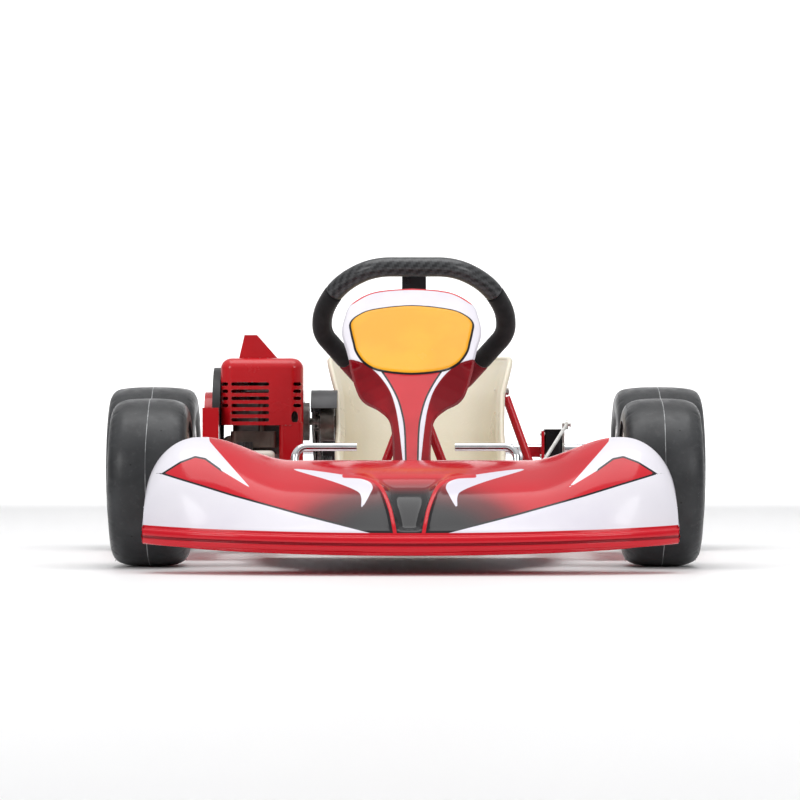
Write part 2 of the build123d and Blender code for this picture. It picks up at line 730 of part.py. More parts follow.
# ---- Seat --------------------------------------------------------------------------------
SEAT_SECTIONS = (
    (44, 112, 95, 300, 55),
    (75, 127, 76, 322, 60),
    (120, 134, 62, 345, 60),
    (200, 131, 72, 378, 60),
    (265, 136, 90, 408, 55),
    (323, 155, 105, 436, 50),
)


def seat_solid(inset, mode):
    """Closed bucket lofted through level sections."""
    sections = []
    for z, half, front, back, corner in SEAT_SECTIONS:
        level = z + inset if z == SEAT_SECTIONS[0][0] else z
        if inset and z == SEAT_SECTIONS[-1][0]:
            level = z + 1
        with BuildSketch(Plane.XY.offset(level)) as section:
            with Locations((SEAT_X, (front + back) / 2)):
                RectangleRounded(2 * (half - inset), back - front - 2 * inset, corner - inset)
        sections.append(section.sketch)
    loft(sections, mode=mode)


with BuildPart() as seat:
    seat_solid(0, Mode.ADD)
    seat_solid(SEAT_WALL, Mode.SUBTRACT)
    with BuildSketch(Plane.YZ.offset(SEAT_X)):
        with BuildLine():
            rim_line = Spline((20, 126), (150, 130), (225, 156), (290, 222), (335, 290), (350, 340))
            Line(rim_line @ 1, (350, 400))
            Line((350, 400), (20, 400))
            Line((20, 400), rim_line @ 0)
        make_face()
    extrude(amount=200, both=True, mode=Mode.SUBTRACT)
    block((SEAT_X - 86, SEAT_X + 86), (0, 130), (92, 200), 30, Mode.SUBTRACT)
    for inside, way, reach, route in SEAT_FIXINGS:
        pin(Plane(origin=inside, z_dir=way).offset(-10), 3, reach + 10, Mode.SUBTRACT)
save(seat, "seat")

with BuildPart() as seat_struts:
    for inside, way, reach, route in SEAT_FIXINGS:
        inner = Plane(origin=inside, z_dir=way)
        rod(route, 40, 7)
        pin(inner.offset(reach), 11, 5)
        pin(inner.offset(reach - 2), 3, 9, Mode.SUBTRACT)
save(seat_struts, "seat_struts")

# ---- Rear axle and drive -----------------------------------------------------------------
with BuildPart() as rear_axle:
    reach = REAR_HALF_TRACK - 18
    pin(x_plane(-reach, REAR_AXLE_Y, REAR_RADIUS), AXLE_R, 2 * reach)
    pin(x_plane(-reach, REAR_AXLE_Y, REAR_RADIUS), AXLE_R - 3, 2 * reach, Mode.SUBTRACT)
save(rear_axle, "rear_axle")

axle_centre = Plane(origin=(0, REAR_AXLE_Y, REAR_RADIUS), x_dir=(1, 0, 0), z_dir=(0, -1, 0))
with BuildPart() as axle_bearings:
    for x in (-CARRIER_X, CARRIER_X):
        hub(axle_centre, REAR_AXIS, ((x - 10, x + 10, BEARING_R, CARRIER_R),))
        hub(axle_centre, REAR_AXIS, ((x - 7.5, x + 7.5, AXLE_R + RUNNING, BEARING_R),))
save(axle_bearings, "axle_bearings")

with BuildPart() as axle_flanges:
    hub(axle_centre, REAR_AXIS, ((DISC_X - 20, DISC_X - 6, AXLE_R, 20), (DISC_X - 6, DISC_X - 2, AXLE_R, 31)))
    hub(axle_centre, REAR_AXIS, ((CHAIN_X + 6, CHAIN_X + 22, AXLE_R, 20), (CHAIN_X + 2, CHAIN_X + 6, AXLE_R, 31)))
save(axle_flanges, "axle_flanges")

with BuildPart() as brake_disc:
    with BuildSketch(x_plane(DISC_X - 2, REAR_AXLE_Y, REAR_RADIUS)):
        Circle(DISC_R)
        Circle(AXLE_R + 1, mode=Mode.SUBTRACT)
        with PolarLocations(47, 12):
            Circle(4, mode=Mode.SUBTRACT)
        with PolarLocations(38, 12, start_angle=15):
            Circle(3, mode=Mode.SUBTRACT)
    extrude(amount=4)
save(brake_disc, "brake_disc")


def pitch_radius(teeth):
    """Pitch circle of a chain sprocket."""
    return CHAIN_PITCH / (2 * sin(pi / teeth))


def sprocket(plane, teeth, bore):
    """Toothed wheel for the chain."""
    root = pitch_radius(teeth) - 2.4
    with BuildSketch(plane) as section:
        Circle(root)
        with PolarLocations(root + 1.9, teeth):
            Rectangle(4.6, 2.6)
        if bore:
            Circle(bore, mode=Mode.SUBTRACT)
    extrude(section.sketch, amount=4)


with BuildPart() as axle_sprocket:
    sprocket(x_plane(CHAIN_X - 2, REAR_AXLE_Y, REAR_RADIUS), AXLE_TEETH, AXLE_R + 1)
    for spot in ring(x_plane(CHAIN_X - 4, REAR_AXLE_Y, REAR_RADIUS), 47, 6):
        pin(spot, 9, 10, Mode.SUBTRACT)
save(axle_sprocket, "axle_sprocket")

with BuildPart() as engine_sprocket:
    sprocket(x_plane(CHAIN_X - 2, CRANK_Y, CRANK_Z), ENGINE_TEETH, 0)
    pin(x_plane(CHAIN_X - 22, CRANK_Y, CRANK_Z), 6, 62)
    pin(x_plane(CHAIN_X + 2, CRANK_Y, CRANK_Z), 9, 6)
    pin(x_plane(CHAIN_X + 7, CRANK_Y, CRANK_Z), 33, 23)
    pin(x_plane(CHAIN_X + 26, CRANK_Y, CRANK_Z), 26, 6, Mode.SUBTRACT)
    hexagon(x_plane(CHAIN_X + 25, CRANK_Y, CRANK_Z), 17, 12)
save(engine_sprocket, "engine_sprocket")

DRIVE_RUN = Vector(REAR_AXLE_Y - CRANK_Y, REAR_RADIUS - CRANK_Z)


def belt_outline(plane, near, far):
    """Tight loop round two circles: near at the engine, far at the axle."""
    ahead = DRIVE_RUN.normalized()
    across = Vector(-ahead.Y, ahead.X)
    lean = (far - near) / DRIVE_RUN.length
    rise = sqrt(1 - lean**2)
    crank = Vector(CRANK_Y, CRANK_Z)
    axle = crank + DRIVE_RUN
    corners = []
    for centre, size, turn in ((crank, near, 1), (axle, far, 1), (axle, far, -1), (crank, near, -1)):
        corners.append(centre + (across * (turn * rise) - ahead * lean) * size)
    with BuildSketch(plane) as outline:
        with BuildLine():
            Polyline(*[(spot.X, spot.Y) for spot in corners], close=True)
        make_face()
        with Locations((crank.X, crank.Y)):
            Circle(near)
        with Locations((axle.X, axle.Y)):
            Circle(far)
    return outline.sketch


with BuildPart() as chain:
    for x in (CHAIN_X - 4.6, CHAIN_X + 3.2):
        level = Plane.YZ.offset(x)
        for grow, mode in ((3.2, Mode.ADD), (-3.2, Mode.SUBTRACT)):
            near = pitch_radius(ENGINE_TEETH) + grow
            far = pitch_radius(AXLE_TEETH) + grow
            extrude(belt_outline(level, near, far), amount=1.4, mode=mode)
save(chain, "chain")

with BuildPart() as chain_guard:
    extrude(belt_outline(Plane.YZ.offset(CHAIN_X - 9), 53, 74), amount=44)
    extrude(belt_outline(Plane.YZ.offset(CHAIN_X - 7), 51, 72), amount=50, mode=Mode.SUBTRACT)
    ahead = DRIVE_RUN.normalized()
    with BuildSketch(Plane.YZ.offset(CHAIN_X - 20)) as lower:
        with Locations(Location((CRANK_Y + DRIVE_RUN.X / 2, CRANK_Z + DRIVE_RUN.Y / 2 - 88), -25.1)):
            Rectangle(500, 160)
        with Locations((CRANK_Y, CRANK_Z)):
            Circle(36)
        with Locations((REAR_AXLE_Y, REAR_RADIUS)):
            Circle(24)
    extrude(amount=80, mode=Mode.SUBTRACT)
save(chain_guard, "chain_guard")

# ---- Brake -------------------------------------------------------------------------------
CALIPER_Y = 423
LEVER_Z = 174
LEVER_X = DISC_X + 16.3
with BuildPart() as brake_caliper:
    block((DISC_X - 15, DISC_X + 16), (398, 448), (152, 206), 6)
    block((DISC_X - 6, DISC_X + 6), (405, 460), (140, 200), 0, Mode.SUBTRACT)
    pin(x_plane(LEVER_X - 8, CALIPER_Y, LEVER_Z), 5 + RUNNING, 12, Mode.SUBTRACT)
    for z in (160, 198):
        pin(x_plane(DISC_X - 20, 403, z), 3, 40, Mode.SUBTRACT)
save(brake_caliper, "brake_caliper")

with BuildPart() as brake_pads:
    for x in (DISC_X - 5.8, DISC_X + 2.3):
        block((x, x + 3.5), (413, 443), (160, 188), 0)
save(brake_pads, "brake_pads")

with BuildPart() as caliper_lever:
    pin(x_plane(LEVER_X - 7.5, CALIPER_Y, LEVER_Z), 5, 12)
    with BuildSketch(Plane.YZ.offset(LEVER_X)):
        with Locations((CALIPER_Y, LEVER_Z)):
            Circle(10)
        with Locations((CALIPER_Y, LEVER_Z + BRAKE_ARM)):
            Circle(6)
        with Locations((CALIPER_Y, LEVER_Z + BRAKE_ARM / 2)):
            Rectangle(11, BRAKE_ARM)
    extrude(amount=4)
    pin(x_plane(LEVER_X, CALIPER_Y, LEVER_Z + BRAKE_ARM), 3, 14)
    pin(x_plane(LEVER_X + 13, CALIPER_Y, LEVER_Z + BRAKE_ARM), 5.5, 2)
save(caliper_lever, "caliper_lever")

# ---- Pedals ------------------------------------------------------------------------------
PEDAL_TOP = Vector(0, PEDAL_Y + 28, 181)
pedal_rise = (PEDAL_TOP - Vector(0, PEDAL_Y, PEDAL_Z)).normalized()
rod_pin = Vector(0, PEDAL_Y, PEDAL_Z) + pedal_rise * BRAKE_ARM
for side, name in ((1, "brake_pedal"), (-1, "throttle_pedal")):
    with BuildPart() as pedal:
        pin(x_plane(side * PEDAL_X - 8.7, PEDAL_Y, PEDAL_Z), 8, 17.4)
        bar = [
            (side * PEDAL_X, PEDAL_Y, PEDAL_Z),
            (side * PEDAL_X, PEDAL_TOP.Y, PEDAL_TOP.Z),
            (side * 73.5, PEDAL_TOP.Y, PEDAL_TOP.Z),
        ]
        rod(bar, 18, 6)
        pin(x_plane(side * PEDAL_X, rod_pin.Y, rod_pin.Z, side), 3, 21)
        pin(x_plane(side * (PEDAL_X + 20), rod_pin.Y, rod_pin.Z, side), 5.5, 2)
        pin(x_plane(side * PEDAL_X - 20, PEDAL_Y, PEDAL_Z), 4 + RUNNING, 40, Mode.SUBTRACT)
    save(pedal, name)

ROD_FRONT = Vector(PEDAL_X + 12, rod_pin.Y, rod_pin.Z)
ROD_REAR = Vector(LEVER_X + 8, CALIPER_Y, LEVER_Z + BRAKE_ARM)
with BuildPart() as brake_rod:
    rod([ROD_FRONT, ROD_REAR], 0, 3)
    for spot in (ROD_FRONT, ROD_REAR):
        pin(x_plane(spot.X - 2.5, spot.Y, spot.Z), 8.5, 5)
    for spot in (ROD_FRONT, ROD_REAR):
        pin(x_plane(spot.X - 12, spot.Y, spot.Z), 4.6, 24, Mode.SUBTRACT)
save(brake_rod, "brake_rod")

# ---- Engine ------------------------------------------------------------------------------
with BuildPart() as engine_mount:
    top = RAIL_Z + RAIL_R
    block((-285, -175), (225, 400), (top, top + 8), 8)
    block((-283, -190), (308, 344), (top + 8, 165))
    for rail_x, y in ENGINE_BOLTS:
        block((rail_x - 27, rail_x + 27), (y - 14, y + 14), (RAIL_Z - RAIL_R - 8, RAIL_Z - RAIL_R))
        for x in (rail_x - 20, rail_x + 20):
            pin(z_plane(x, y, 20), 4, 60, Mode.SUBTRACT)
save(engine_mount, "engine_mount")

with BuildPart() as crankcase:
    block((-290, -185), (262, 345), (165, 253), 14)
    pin(x_plane(-186, CRANK_Y, CRANK_Z), 32, 24)
    pin(x_plane(-175, CRANK_Y, CRANK_Z), 6 + RUNNING, 20, Mode.SUBTRACT)
save(crankcase, "crankcase")

CYLINDER_X = -237
with BuildPart() as cylinder:
    pin(z_plane(CYLINDER_X, CRANK_Y, 253), 26, 65)
    for step in range(6):
        block((-276, -198), (260, 322), (269 + 8 * step, 271.5 + 8 * step), 16)
    hexagon(z_plane(CYLINDER_X, CRANK_Y, 318), 19, 8)
    pin(z_plane(CYLINDER_X, CRANK_Y, 326), 6, 6)
save(cylinder, "cylinder")

SLOT_HEIGHTS = [281.5 - 11.9 * step for step in range(7)]
with BuildPart() as fan_shroud:
    block((-309, -171), (228, 372), (213, 325))
    fillet(fan_shroud.edges().filter_by(Axis.Z), 22)
    fillet(fan_shroud.faces().sort_by(Axis.Z)[-1].edges(), 18)
    offset(amount=-3, openings=fan_shroud.faces().sort_by(Axis.Z)[0])
    for number, z in enumerate(SLOT_HEIGHTS):
        with BuildSketch(Plane.XZ.offset(-240)):
            with Locations((-259, z)):
                SlotOverall(63, 5.8)
        extrude(amount=20, mode=Mode.SUBTRACT)
        if number < 4:
            with BuildSketch(Plane.XZ.offset(-262)):
                with Locations((-302, z), (-181, z)):
                    SlotOverall(13, 5.8)
            extrude(amount=40, mode=Mode.SUBTRACT)
    with BuildSketch(Plane.XZ.offset(-262)):
        with Locations((-185, 226)):
            Ellipse(5.6, 10.5)
    extrude(amount=40, mode=Mode.SUBTRACT)
    pin(z_plane(CYLINDER_X, CRANK_Y, 315), 14, 20, Mode.SUBTRACT)
    pin(Plane(origin=(-240, 360, 282), z_dir=(0, 1, 0)), 12, 20, Mode.SUBTRACT)
    pin(x_plane(-190, CRANK_Y, CRANK_Z), 35, 30, Mode.SUBTRACT)
    block((-211, -171), (229, 250), (152, 218), 8)
save(fan_shroud, "fan_shroud")

with BuildPart() as top_cover:
    for grow, mode in ((0, Mode.ADD), (3, Mode.SUBTRACT)):
        with BuildSketch(Plane.XZ.offset(-338 + grow)):
            with BuildLine():
                low = 325.3 - 2 * grow
                high = 364 - grow
                Polyline(
                    (-279 + grow, low),
                    (-215 - grow, low),
                    (-249 - grow, high),
                    (-270 + grow, high),
                    close=True,
                )
            make_face()
        extrude(amount=76 - 2 * grow, mode=mode)
save(top_cover, "top_cover")

with BuildPart() as fan_housing:
    hub(
        Plane(origin=(-309.3, CRANK_Y, 232), x_dir=(-1, 0, 0), z_dir=(0, 1, 0)),
        Axis((0, CRANK_Y, 232), (1, 0, 0)),
        ((0, 12.7, 70, 78), (9, 12.7, 0, 70)),
    )
    for spot in ring(x_plane(-330, CRANK_Y, 232), 62, 8, 22.5):
        pin(spot, 6, 20, Mode.SUBTRACT)
save(fan_housing, "fan_housing")

with BuildPart() as starter_cover:
    pin(x_plane(-337, CRANK_Y, CRANK_Z), 50, 14.6)
    block((-337, -322.4), (200, 345), (176, 242))
    block((-337, -310), (200, 221.4), (176, 242))
    pin(Plane(origin=(-330, 330, 222), z_dir=(0, 1, 0)), 3 + RUNNING, 20, Mode.SUBTRACT)
save(starter_cover, "starter_cover")

with BuildPart() as starter_handle:
    pin(Plane(origin=(-330, 332, 222), z_dir=(0, 1, 0)), 3, 24)
    pin(z_plane(-330, 360, 197), 7, 50)
    fillet(starter_handle.edges().filter_by(GeomType.CIRCLE).group_by(Axis.Z)[0], 3)
save(starter_handle, "starter_handle")

with BuildPart() as muffler:
    block((-292, -216), (230, 259), (176, 203), 10)
    rod([(-240, 245, 200), (-240, 245, 259), (-240, 273.8, 259)], 12, 6)
    rod([(-280, 245, 190), (-302, 245, 190), (-302, 245, 160)], 10, 6)
save(muffler, "muffler")

with BuildPart() as carburettor:
    block((-262, -218), (378, 408), (262, 302), 5)
    pin(Plane(origin=(-240, 327, 282), z_dir=(0, 1, 0)), 9, 55)
    pin(Plane(origin=(-240, 406, 282), z_dir=(0, 1, 0)), 14, 8)
    pin(z_plane(-240, 393, 248), 12, 16)
    pin(x_plane(-270, 393, 288), 3 + RUNNING, 20, Mode.SUBTRACT)
save(carburettor, "carburettor")

with BuildPart() as throttle_lever:
    pin(x_plane(-265.3, 393, 288), 3, 14)
    block((-265.3, -262.5), (389, 397), (284, 312), 0)
save(throttle_lever, "throttle_lever")

with BuildPart() as airbox:
    block((-276, -204), (414.2, 452), (242, 312), 10)
    fillet(airbox.edges().filter_by(Axis.Z, reverse=True), 6)
save(airbox, "airbox")

with BuildPart() as fuel_tank:
    block((-284, -218), (198, 258), (92, 171), 14)
    fillet(fuel_tank.edges().filter_by(Axis.Z, reverse=True), 8)
    offset(amount=-2)
    offset(amount=2)
    pin(z_plane(-268, 212, 165), 9, 15)
save(fuel_tank, "fuel_tank")

with BuildPart() as fuel_cap:
    with BuildSketch(z_plane(-268, 212, 172)):
        Circle(14)
        Circle(9 + RUNNING, mode=Mode.SUBTRACT)
    extrude(amount=9)
    pin(z_plane(-268, 212, 180.2), 14, 5)
    for spot in ring(z_plane(-268, 212, 172), 15, 12):
        pin(spot, 2, 20, Mode.SUBTRACT)
save(fuel_cap, "fuel_cap")

# ---- Fasteners ---------------------------------------------------------------------------
with BuildPart() as frame_bolts:
    for side in (1, -1):
        bolt(z_plane(side * KINGPIN_X, FRONT_AXLE_Y, 160, -1), KINGPIN_R, 74, 16)
        with BuildSketch(z_plane(side * KINGPIN_X, FRONT_AXLE_Y, 87)):
            RegularPolygon(8, 6, major_radius=False)
            Circle(KINGPIN_R, mode=Mode.SUBTRACT)
        extrude(amount=7)
        bolt(x_plane(side * (PEDAL_X - 13), PEDAL_Y, PEDAL_Z, side), 4, 30, 13)
        with BuildSketch(x_plane(side * (PEDAL_X + 13), PEDAL_Y, PEDAL_Z, side)):
            RegularPolygon(6.5, 6, major_radius=False)
            Circle(4, mode=Mode.SUBTRACT)
        extrude(amount=5)
    for inside, way, reach, route in SEAT_FIXINGS:
        inner = Plane(origin=inside, z_dir=way)
        bolt(inner, 3, reach + 11, 10)
        hexagon(inner.offset(reach + 5), 10, 5)
    for rail_x, y in ENGINE_BOLTS:
        for x in (rail_x - 20, rail_x + 20):
            bolt(z_plane(x, y, RAIL_Z + RAIL_R + 8, -1), 4, 40, 13)
    for z in (160, 198):
        bolt(x_plane(DISC_X + 16, 403, z, -1), 3, 38, 10)
    for x in (16, -16):
        spot = steer_plane(BUSH_AT + 12).from_local_coords((x, 0, 0))
        bolt(Plane(origin=spot, z_dir=-column_dir), 3, 28, 10)
save(frame_bolts, "frame_bolts")
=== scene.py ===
from math import cos, pi, radians, sin, sqrt, tan

import bpy
import numpy as np
from mathutils import Matrix, Vector


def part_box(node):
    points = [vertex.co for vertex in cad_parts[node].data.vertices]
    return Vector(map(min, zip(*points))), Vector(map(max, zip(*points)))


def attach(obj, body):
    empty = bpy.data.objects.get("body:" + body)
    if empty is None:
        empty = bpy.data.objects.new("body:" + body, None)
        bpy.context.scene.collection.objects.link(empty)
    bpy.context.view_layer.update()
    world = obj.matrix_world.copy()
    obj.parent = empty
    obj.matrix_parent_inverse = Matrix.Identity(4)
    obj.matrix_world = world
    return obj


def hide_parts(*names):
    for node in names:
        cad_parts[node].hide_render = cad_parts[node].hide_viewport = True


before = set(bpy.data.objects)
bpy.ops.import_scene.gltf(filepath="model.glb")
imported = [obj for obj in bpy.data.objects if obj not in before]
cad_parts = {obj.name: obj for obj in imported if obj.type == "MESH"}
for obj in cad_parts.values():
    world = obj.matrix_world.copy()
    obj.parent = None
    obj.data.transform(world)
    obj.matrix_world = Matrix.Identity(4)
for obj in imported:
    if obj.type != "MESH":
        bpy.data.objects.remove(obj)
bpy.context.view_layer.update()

# A small racing kart. Metres. +X is the driver's left, +Y the rear, +Z up, as in the CAD model.
# Shapes are worked out in millimetres and scaled once, in mesh_piece.

MM = 0.001
NOSE_LOW, NOSE_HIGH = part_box("nose_fairing")
PANEL_LOW, PANEL_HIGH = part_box("front_panel")
NOSE_X = (NOSE_LOW.x + NOSE_HIGH.x) / 2 / MM
NOSE_HALF = (NOSE_HIGH.x - NOSE_LOW.x) / 2 / MM
NOSE_FRONT = NOSE_LOW.y / MM
GRAPHIC_X = NOSE_X - 2
PANEL_X = (PANEL_LOW.x + PANEL_HIGH.x) / 2 / MM
WHEEL_AT = Vector((0.013, 0, 0.357)) / MM


# ---- Meshes ------------------------------------------------------------------------------
def mesh_piece(name, points, faces, body, nodes=(), origin=(0, 0, 0), smooth=True):
    """A piece from points in millimetres; origin is the place of its object in millimetres."""
    mesh = bpy.data.meshes.new(name)
    place = Vector(origin)
    mesh.from_pydata([(Vector(p) - place) * MM for p in points], [], faces)
    mesh.validate()
    piece = bpy.data.objects.new(name, mesh)
    bpy.context.collection.objects.link(piece)
    piece.location = place * MM
    mesh.shade_smooth() if smooth else mesh.shade_flat()
    if nodes:
        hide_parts(*nodes)
    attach(piece, body)
    return piece


def grid_faces(rows, columns, closed=False, start=0, wrap_rows=False):
    """Quads of a grid of points; closed joins the last column to the first."""
    faces = []
    across = columns if closed else columns - 1
    along = rows if wrap_rows else rows - 1
    for row in range(along):
        here = start + row * columns
        there = start + (row + 1) % rows * columns
        for column in range(across):
            after = (column + 1) % columns
            faces.append((here + column, here + after, there + after, there + column))
    return faces


def modify(piece, kind, **settings):
    """Add a modifier with its settings."""
    modifier = piece.modifiers.new(kind.title(), kind)
    for key, value in settings.items():
        setattr(modifier, key, value)
    return modifier


def ease(value):
    """Smooth step from 0 to 1."""
    value = np.clip(value, 0, 1)
    return value * value * (3 - 2 * value)


def smooth_line(points, steps=6, closed=False):
    """Catmull-Rom curve through points."""
    points = [np.array(p, float) for p in points]
    count = len(points)
    result = []
    for index in range(count if closed else count - 1):
        if closed:
            a, b, c, d = (points[(index + k) % count] for k in (-1, 0, 1, 2))
        else:
            a, b = points[max(index - 1, 0)], points[index]
            c, d = points[index + 1], points[min(index + 2, count - 1)]
        for step in range(steps):
            t = step / steps
            result.append(0.5 * (2 * b + (c - a) * t + (2 * a - 5 * b + 4 * c - d) * t * t
                                 + (3 * b - a - 3 * c + d) * t ** 3))
    if not closed:
        result.append(points[-1])
    return result


def rounded(corners, steps=10):
    """Closed outline with an arc at each corner; corners are (x, y, bend)."""
    result = []
    count = len(corners)
    for index, (x, y, bend) in enumerate(corners):
        here = Vector((x, y))
        back = Vector(corners[index - 1][:2]) - here
        ahead = Vector(corners[(index + 1) % count][:2]) - here
        half = back.angle(ahead) / 2
        back.normalize()
        ahead.normalize()
        middle = here + (back + ahead).normalized() * (bend / sin(half))
        first = here + back * (bend / tan(half)) - middle
        turn = (pi - 2 * half) * (1 if back.cross(ahead) < 0 else -1)
        for step in range(steps + 1):
            result.append(middle + Matrix.Rotation(turn * step / steps, 2) @ first)
    return result


def distance_to(points, outline, closed=True):
    """Signed distance of points to an outline, positive inside; unsigned to an open line."""
    outline = np.array(outline, float)
    ends = np.roll(outline, -1, axis=0)
    if not closed:
        outline, ends = outline[:-1], ends[:-1]
    nearest = np.full(len(points), 1e9)
    inside = np.zeros(len(points), bool)
    for a, b in zip(outline, ends):
        run = b - a
        t = np.clip(((points - a) @ run) / (run @ run), 0, 1)
        nearest = np.minimum(nearest, np.linalg.norm(points - a - t[:, None] * run, axis=1))
        crosses = (a[1] > points[:, 1]) != (b[1] > points[:, 1])
        rise = run[1] if abs(run[1]) > 1e-9 else 1e-9
        inside ^= crosses & (points[:, 0] < a[0] + (points[:, 1] - a[1]) * run[0] / rise)
    return np.where(inside, nearest, -nearest) if closed else nearest


def keep_distance(piece, name, values):
    """Store a distance in millimetres at each point, for a material to read."""
    attribute = piece.data.attributes.new(name, "FLOAT", "POINT")
    attribute.data.foreach_set("value", np.array(values, np.float32))


def join_lists(parts):
    """One list of points and faces from several (points, faces) pairs."""
    points, faces = [], []
    for more_points, more_faces in parts:
        shift = len(points)
        points += more_points
        faces += [tuple(i + shift for i in face) for face in more_faces]
    return points, faces


def lathe(profile, steps, closed=True, axis_x=0.0):
    """Solid of revolution about X from (x, radius) points."""
    points = []
    for step in range(steps):
        angle = 2 * pi * step / steps
        points += [(axis_x + x, r * cos(angle), r * sin(angle)) for x, r in profile]
    return points, grid_faces(steps, len(profile), closed, wrap_rows=True)


# ---- Materials ---------------------------------------------------------------------------
class Paint:
    """Short calls that build one node material."""

    def __init__(self, name, **shader):
        self.material = bpy.data.materials.new(name)
        self.material.use_nodes = True
        tree = self.material.node_tree
        self.nodes, self.links = tree.nodes, tree.links
        self.shader = self.nodes["Principled BSDF"]
        for key, value in shader.items():
            self.shader.inputs[key.replace("_", " ")].default_value = value
        self.place = self.node("ShaderNodeTexCoord").outputs["Object"]

    def feed(self, socket, value):
        if isinstance(value, bpy.types.NodeSocket):
            self.links.new(value, socket)
        else:
            socket.default_value = value

    def node(self, kind, inputs=None, **settings):
        node = self.nodes.new(kind)
        for key, value in settings.items():
            setattr(node, key, value)
        for key, value in (inputs or {}).items():
            self.feed(node.inputs[key], value)
        return node

    def math(self, operation, a, b=0.0, clamp=False):
        node = self.node("ShaderNodeMath", {0: a, 1: b}, operation=operation, use_clamp=clamp)
        return node.outputs[0]

    def noise(self, scale, detail=4.0, roughness=0.5, stretch=None, distortion=0.0):
        place = self.place
        if stretch:
            place = self.node("ShaderNodeMapping", {"Vector": place, "Scale": stretch}).outputs[0]
        inputs = {"Vector": place, "Scale": scale, "Detail": detail, "Roughness": roughness,
                  "Distortion": distortion}
        return self.node("ShaderNodeTexNoise", inputs).outputs[0]

    def step(self, value, low, high, to_low=0.0, to_high=1.0):
        inputs = {0: value, 1: low, 2: high, 3: to_low, 4: to_high}
        return self.node("ShaderNodeMapRange", inputs, interpolation_type="SMOOTHSTEP").outputs[0]

    def mix(self, factor, a, b, blend="MIX"):
        node = self.node("ShaderNodeMix", data_type="RGBA", blend_type=blend)
        for index, value in ((0, factor), (6, a), (7, b)):
            self.feed(node.inputs[index], value)
        return node.outputs[2]

    def distance(self, name):
        return self.node("ShaderNodeAttribute", attribute_name=name).outputs["Fac"]

    def inside(self, name, edge=0.0, soft=0.35):
        return self.step(self.distance(name), edge - soft, edge + soft)

    def border(self, name, half, soft=0.35):
        near = self.math("ABSOLUTE", self.distance(name))
        return self.step(near, half + soft, half - soft)

    def bump(self, height, distance, strength=1.0, normal=None):
        inputs = {"Height": height, "Distance": distance, "Strength": strength}
        if normal:
            inputs["Normal"] = normal
        return self.node("ShaderNodeBump", inputs).outputs[0]

    def edges(self, radius=0.0015):
        """Mask of worn corners, from the angle between the true and the rounded normal."""
        soft = self.node("ShaderNodeBevel", {"Radius": radius}, samples=4).outputs[0]
        true = self.node("ShaderNodeNewGeometry").outputs["Normal"]
        dot = self.node("ShaderNodeVectorMath", {0: soft, 1: true}, operation="DOT_PRODUCT")
        return self.step(dot.outputs["Value"], 0.98, 0.85)

    def finish(self, color=None, roughness=None, normal=None, metallic=None):
        for key, value in (("Base Color", color), ("Roughness", roughness), ("Normal", normal),
                           ("Metallic", metallic)):
            if value is not None:
                self.feed(self.shader.inputs[key], value)
        return self.material


RED = (0.60, 0.006, 0.018, 1)
DEEP_RED = (0.25, 0.003, 0.010, 1)
WHITE = (0.80, 0.78, 0.84, 1)
TYRE_HOLES = 14.0
BLACK = (0.006, 0.006, 0.008, 1)
YELLOW = (0.93, 0.44, 0.010, 1)
CREAM = (0.80, 0.745, 0.60, 1)


def gloss_paint(name, color, dark, peel=0.00006, chips=True):
    """Sprayed enamel: slight orange peel, dust dulling and worn corners."""
    paint = Paint(name, Coat_Weight=0.35, Coat_Roughness=0.08, Specular_IOR_Level=0.4)
    base = paint.mix(paint.step(paint.noise(6, 5), 0.35, 0.7), color, dark)
    if chips:
        worn = paint.math("MULTIPLY", paint.edges(), paint.step(paint.noise(260, 3), 0.5, 0.62))
        base = paint.mix(worn, base, (0.35, 0.33, 0.32, 1))
    rough = paint.step(paint.noise(22, 6), 0.3, 0.75, 0.16, 0.30)
    return paint.finish(base, rough, paint.bump(paint.noise(420, 2), peel))


def metal(name, color, dark, rough=(0.2, 0.4), stretch=None, scale=60, bump=0.00003, worn=None):
    """Bare metal with mottled tone, machining or brushing marks and brighter corners."""
    paint = Paint(name, Metallic=1.0)
    base = paint.mix(paint.step(paint.noise(scale / 4, 6), 0.3, 0.7), color, dark)
    if worn:
        base = paint.mix(paint.edges(), base, worn)
    marks = paint.noise(scale * 6, 4, 0.6, stretch)
    roughness = paint.step(paint.noise(scale, 6, 0.6, stretch), 0.25, 0.75, *rough)
    return paint.finish(base, roughness, paint.bump(marks, bump))


def plastic(name, color, light, rough=(0.35, 0.55), grain=900, depth=0.00008, **shader):
    """Moulded plastic: fine spark grain and slightly lighter scuffed corners."""
    paint = Paint(name, **shader)
    scuffs = paint.math("MULTIPLY", paint.edges(0.001), paint.step(paint.noise(90, 4), 0.4, 0.6))
    base = paint.mix(paint.step(paint.noise(9, 5), 0.35, 0.7), color, light)
    base = paint.mix(paint.math("MULTIPLY", scuffs, 0.35), base, (0.35, 0.35, 0.36, 1))
    roughness = paint.step(paint.noise(30, 5), 0.3, 0.7, *rough)
    return paint.finish(base, roughness, paint.bump(paint.noise(grain, 2), depth))


def chrome_plate():
    paint = Paint("chrome_plate", Metallic=1.0)
    base = paint.mix(paint.step(paint.noise(40, 4), 0.4, 0.7),
                     (0.86, 0.87, 0.89, 1), (0.72, 0.73, 0.76, 1))
    rough = paint.step(paint.noise(25, 6, 0.65), 0.45, 0.8, 0.045, 0.16)
    return paint.finish(base, rough, paint.bump(paint.noise(160, 2), 0.00002))


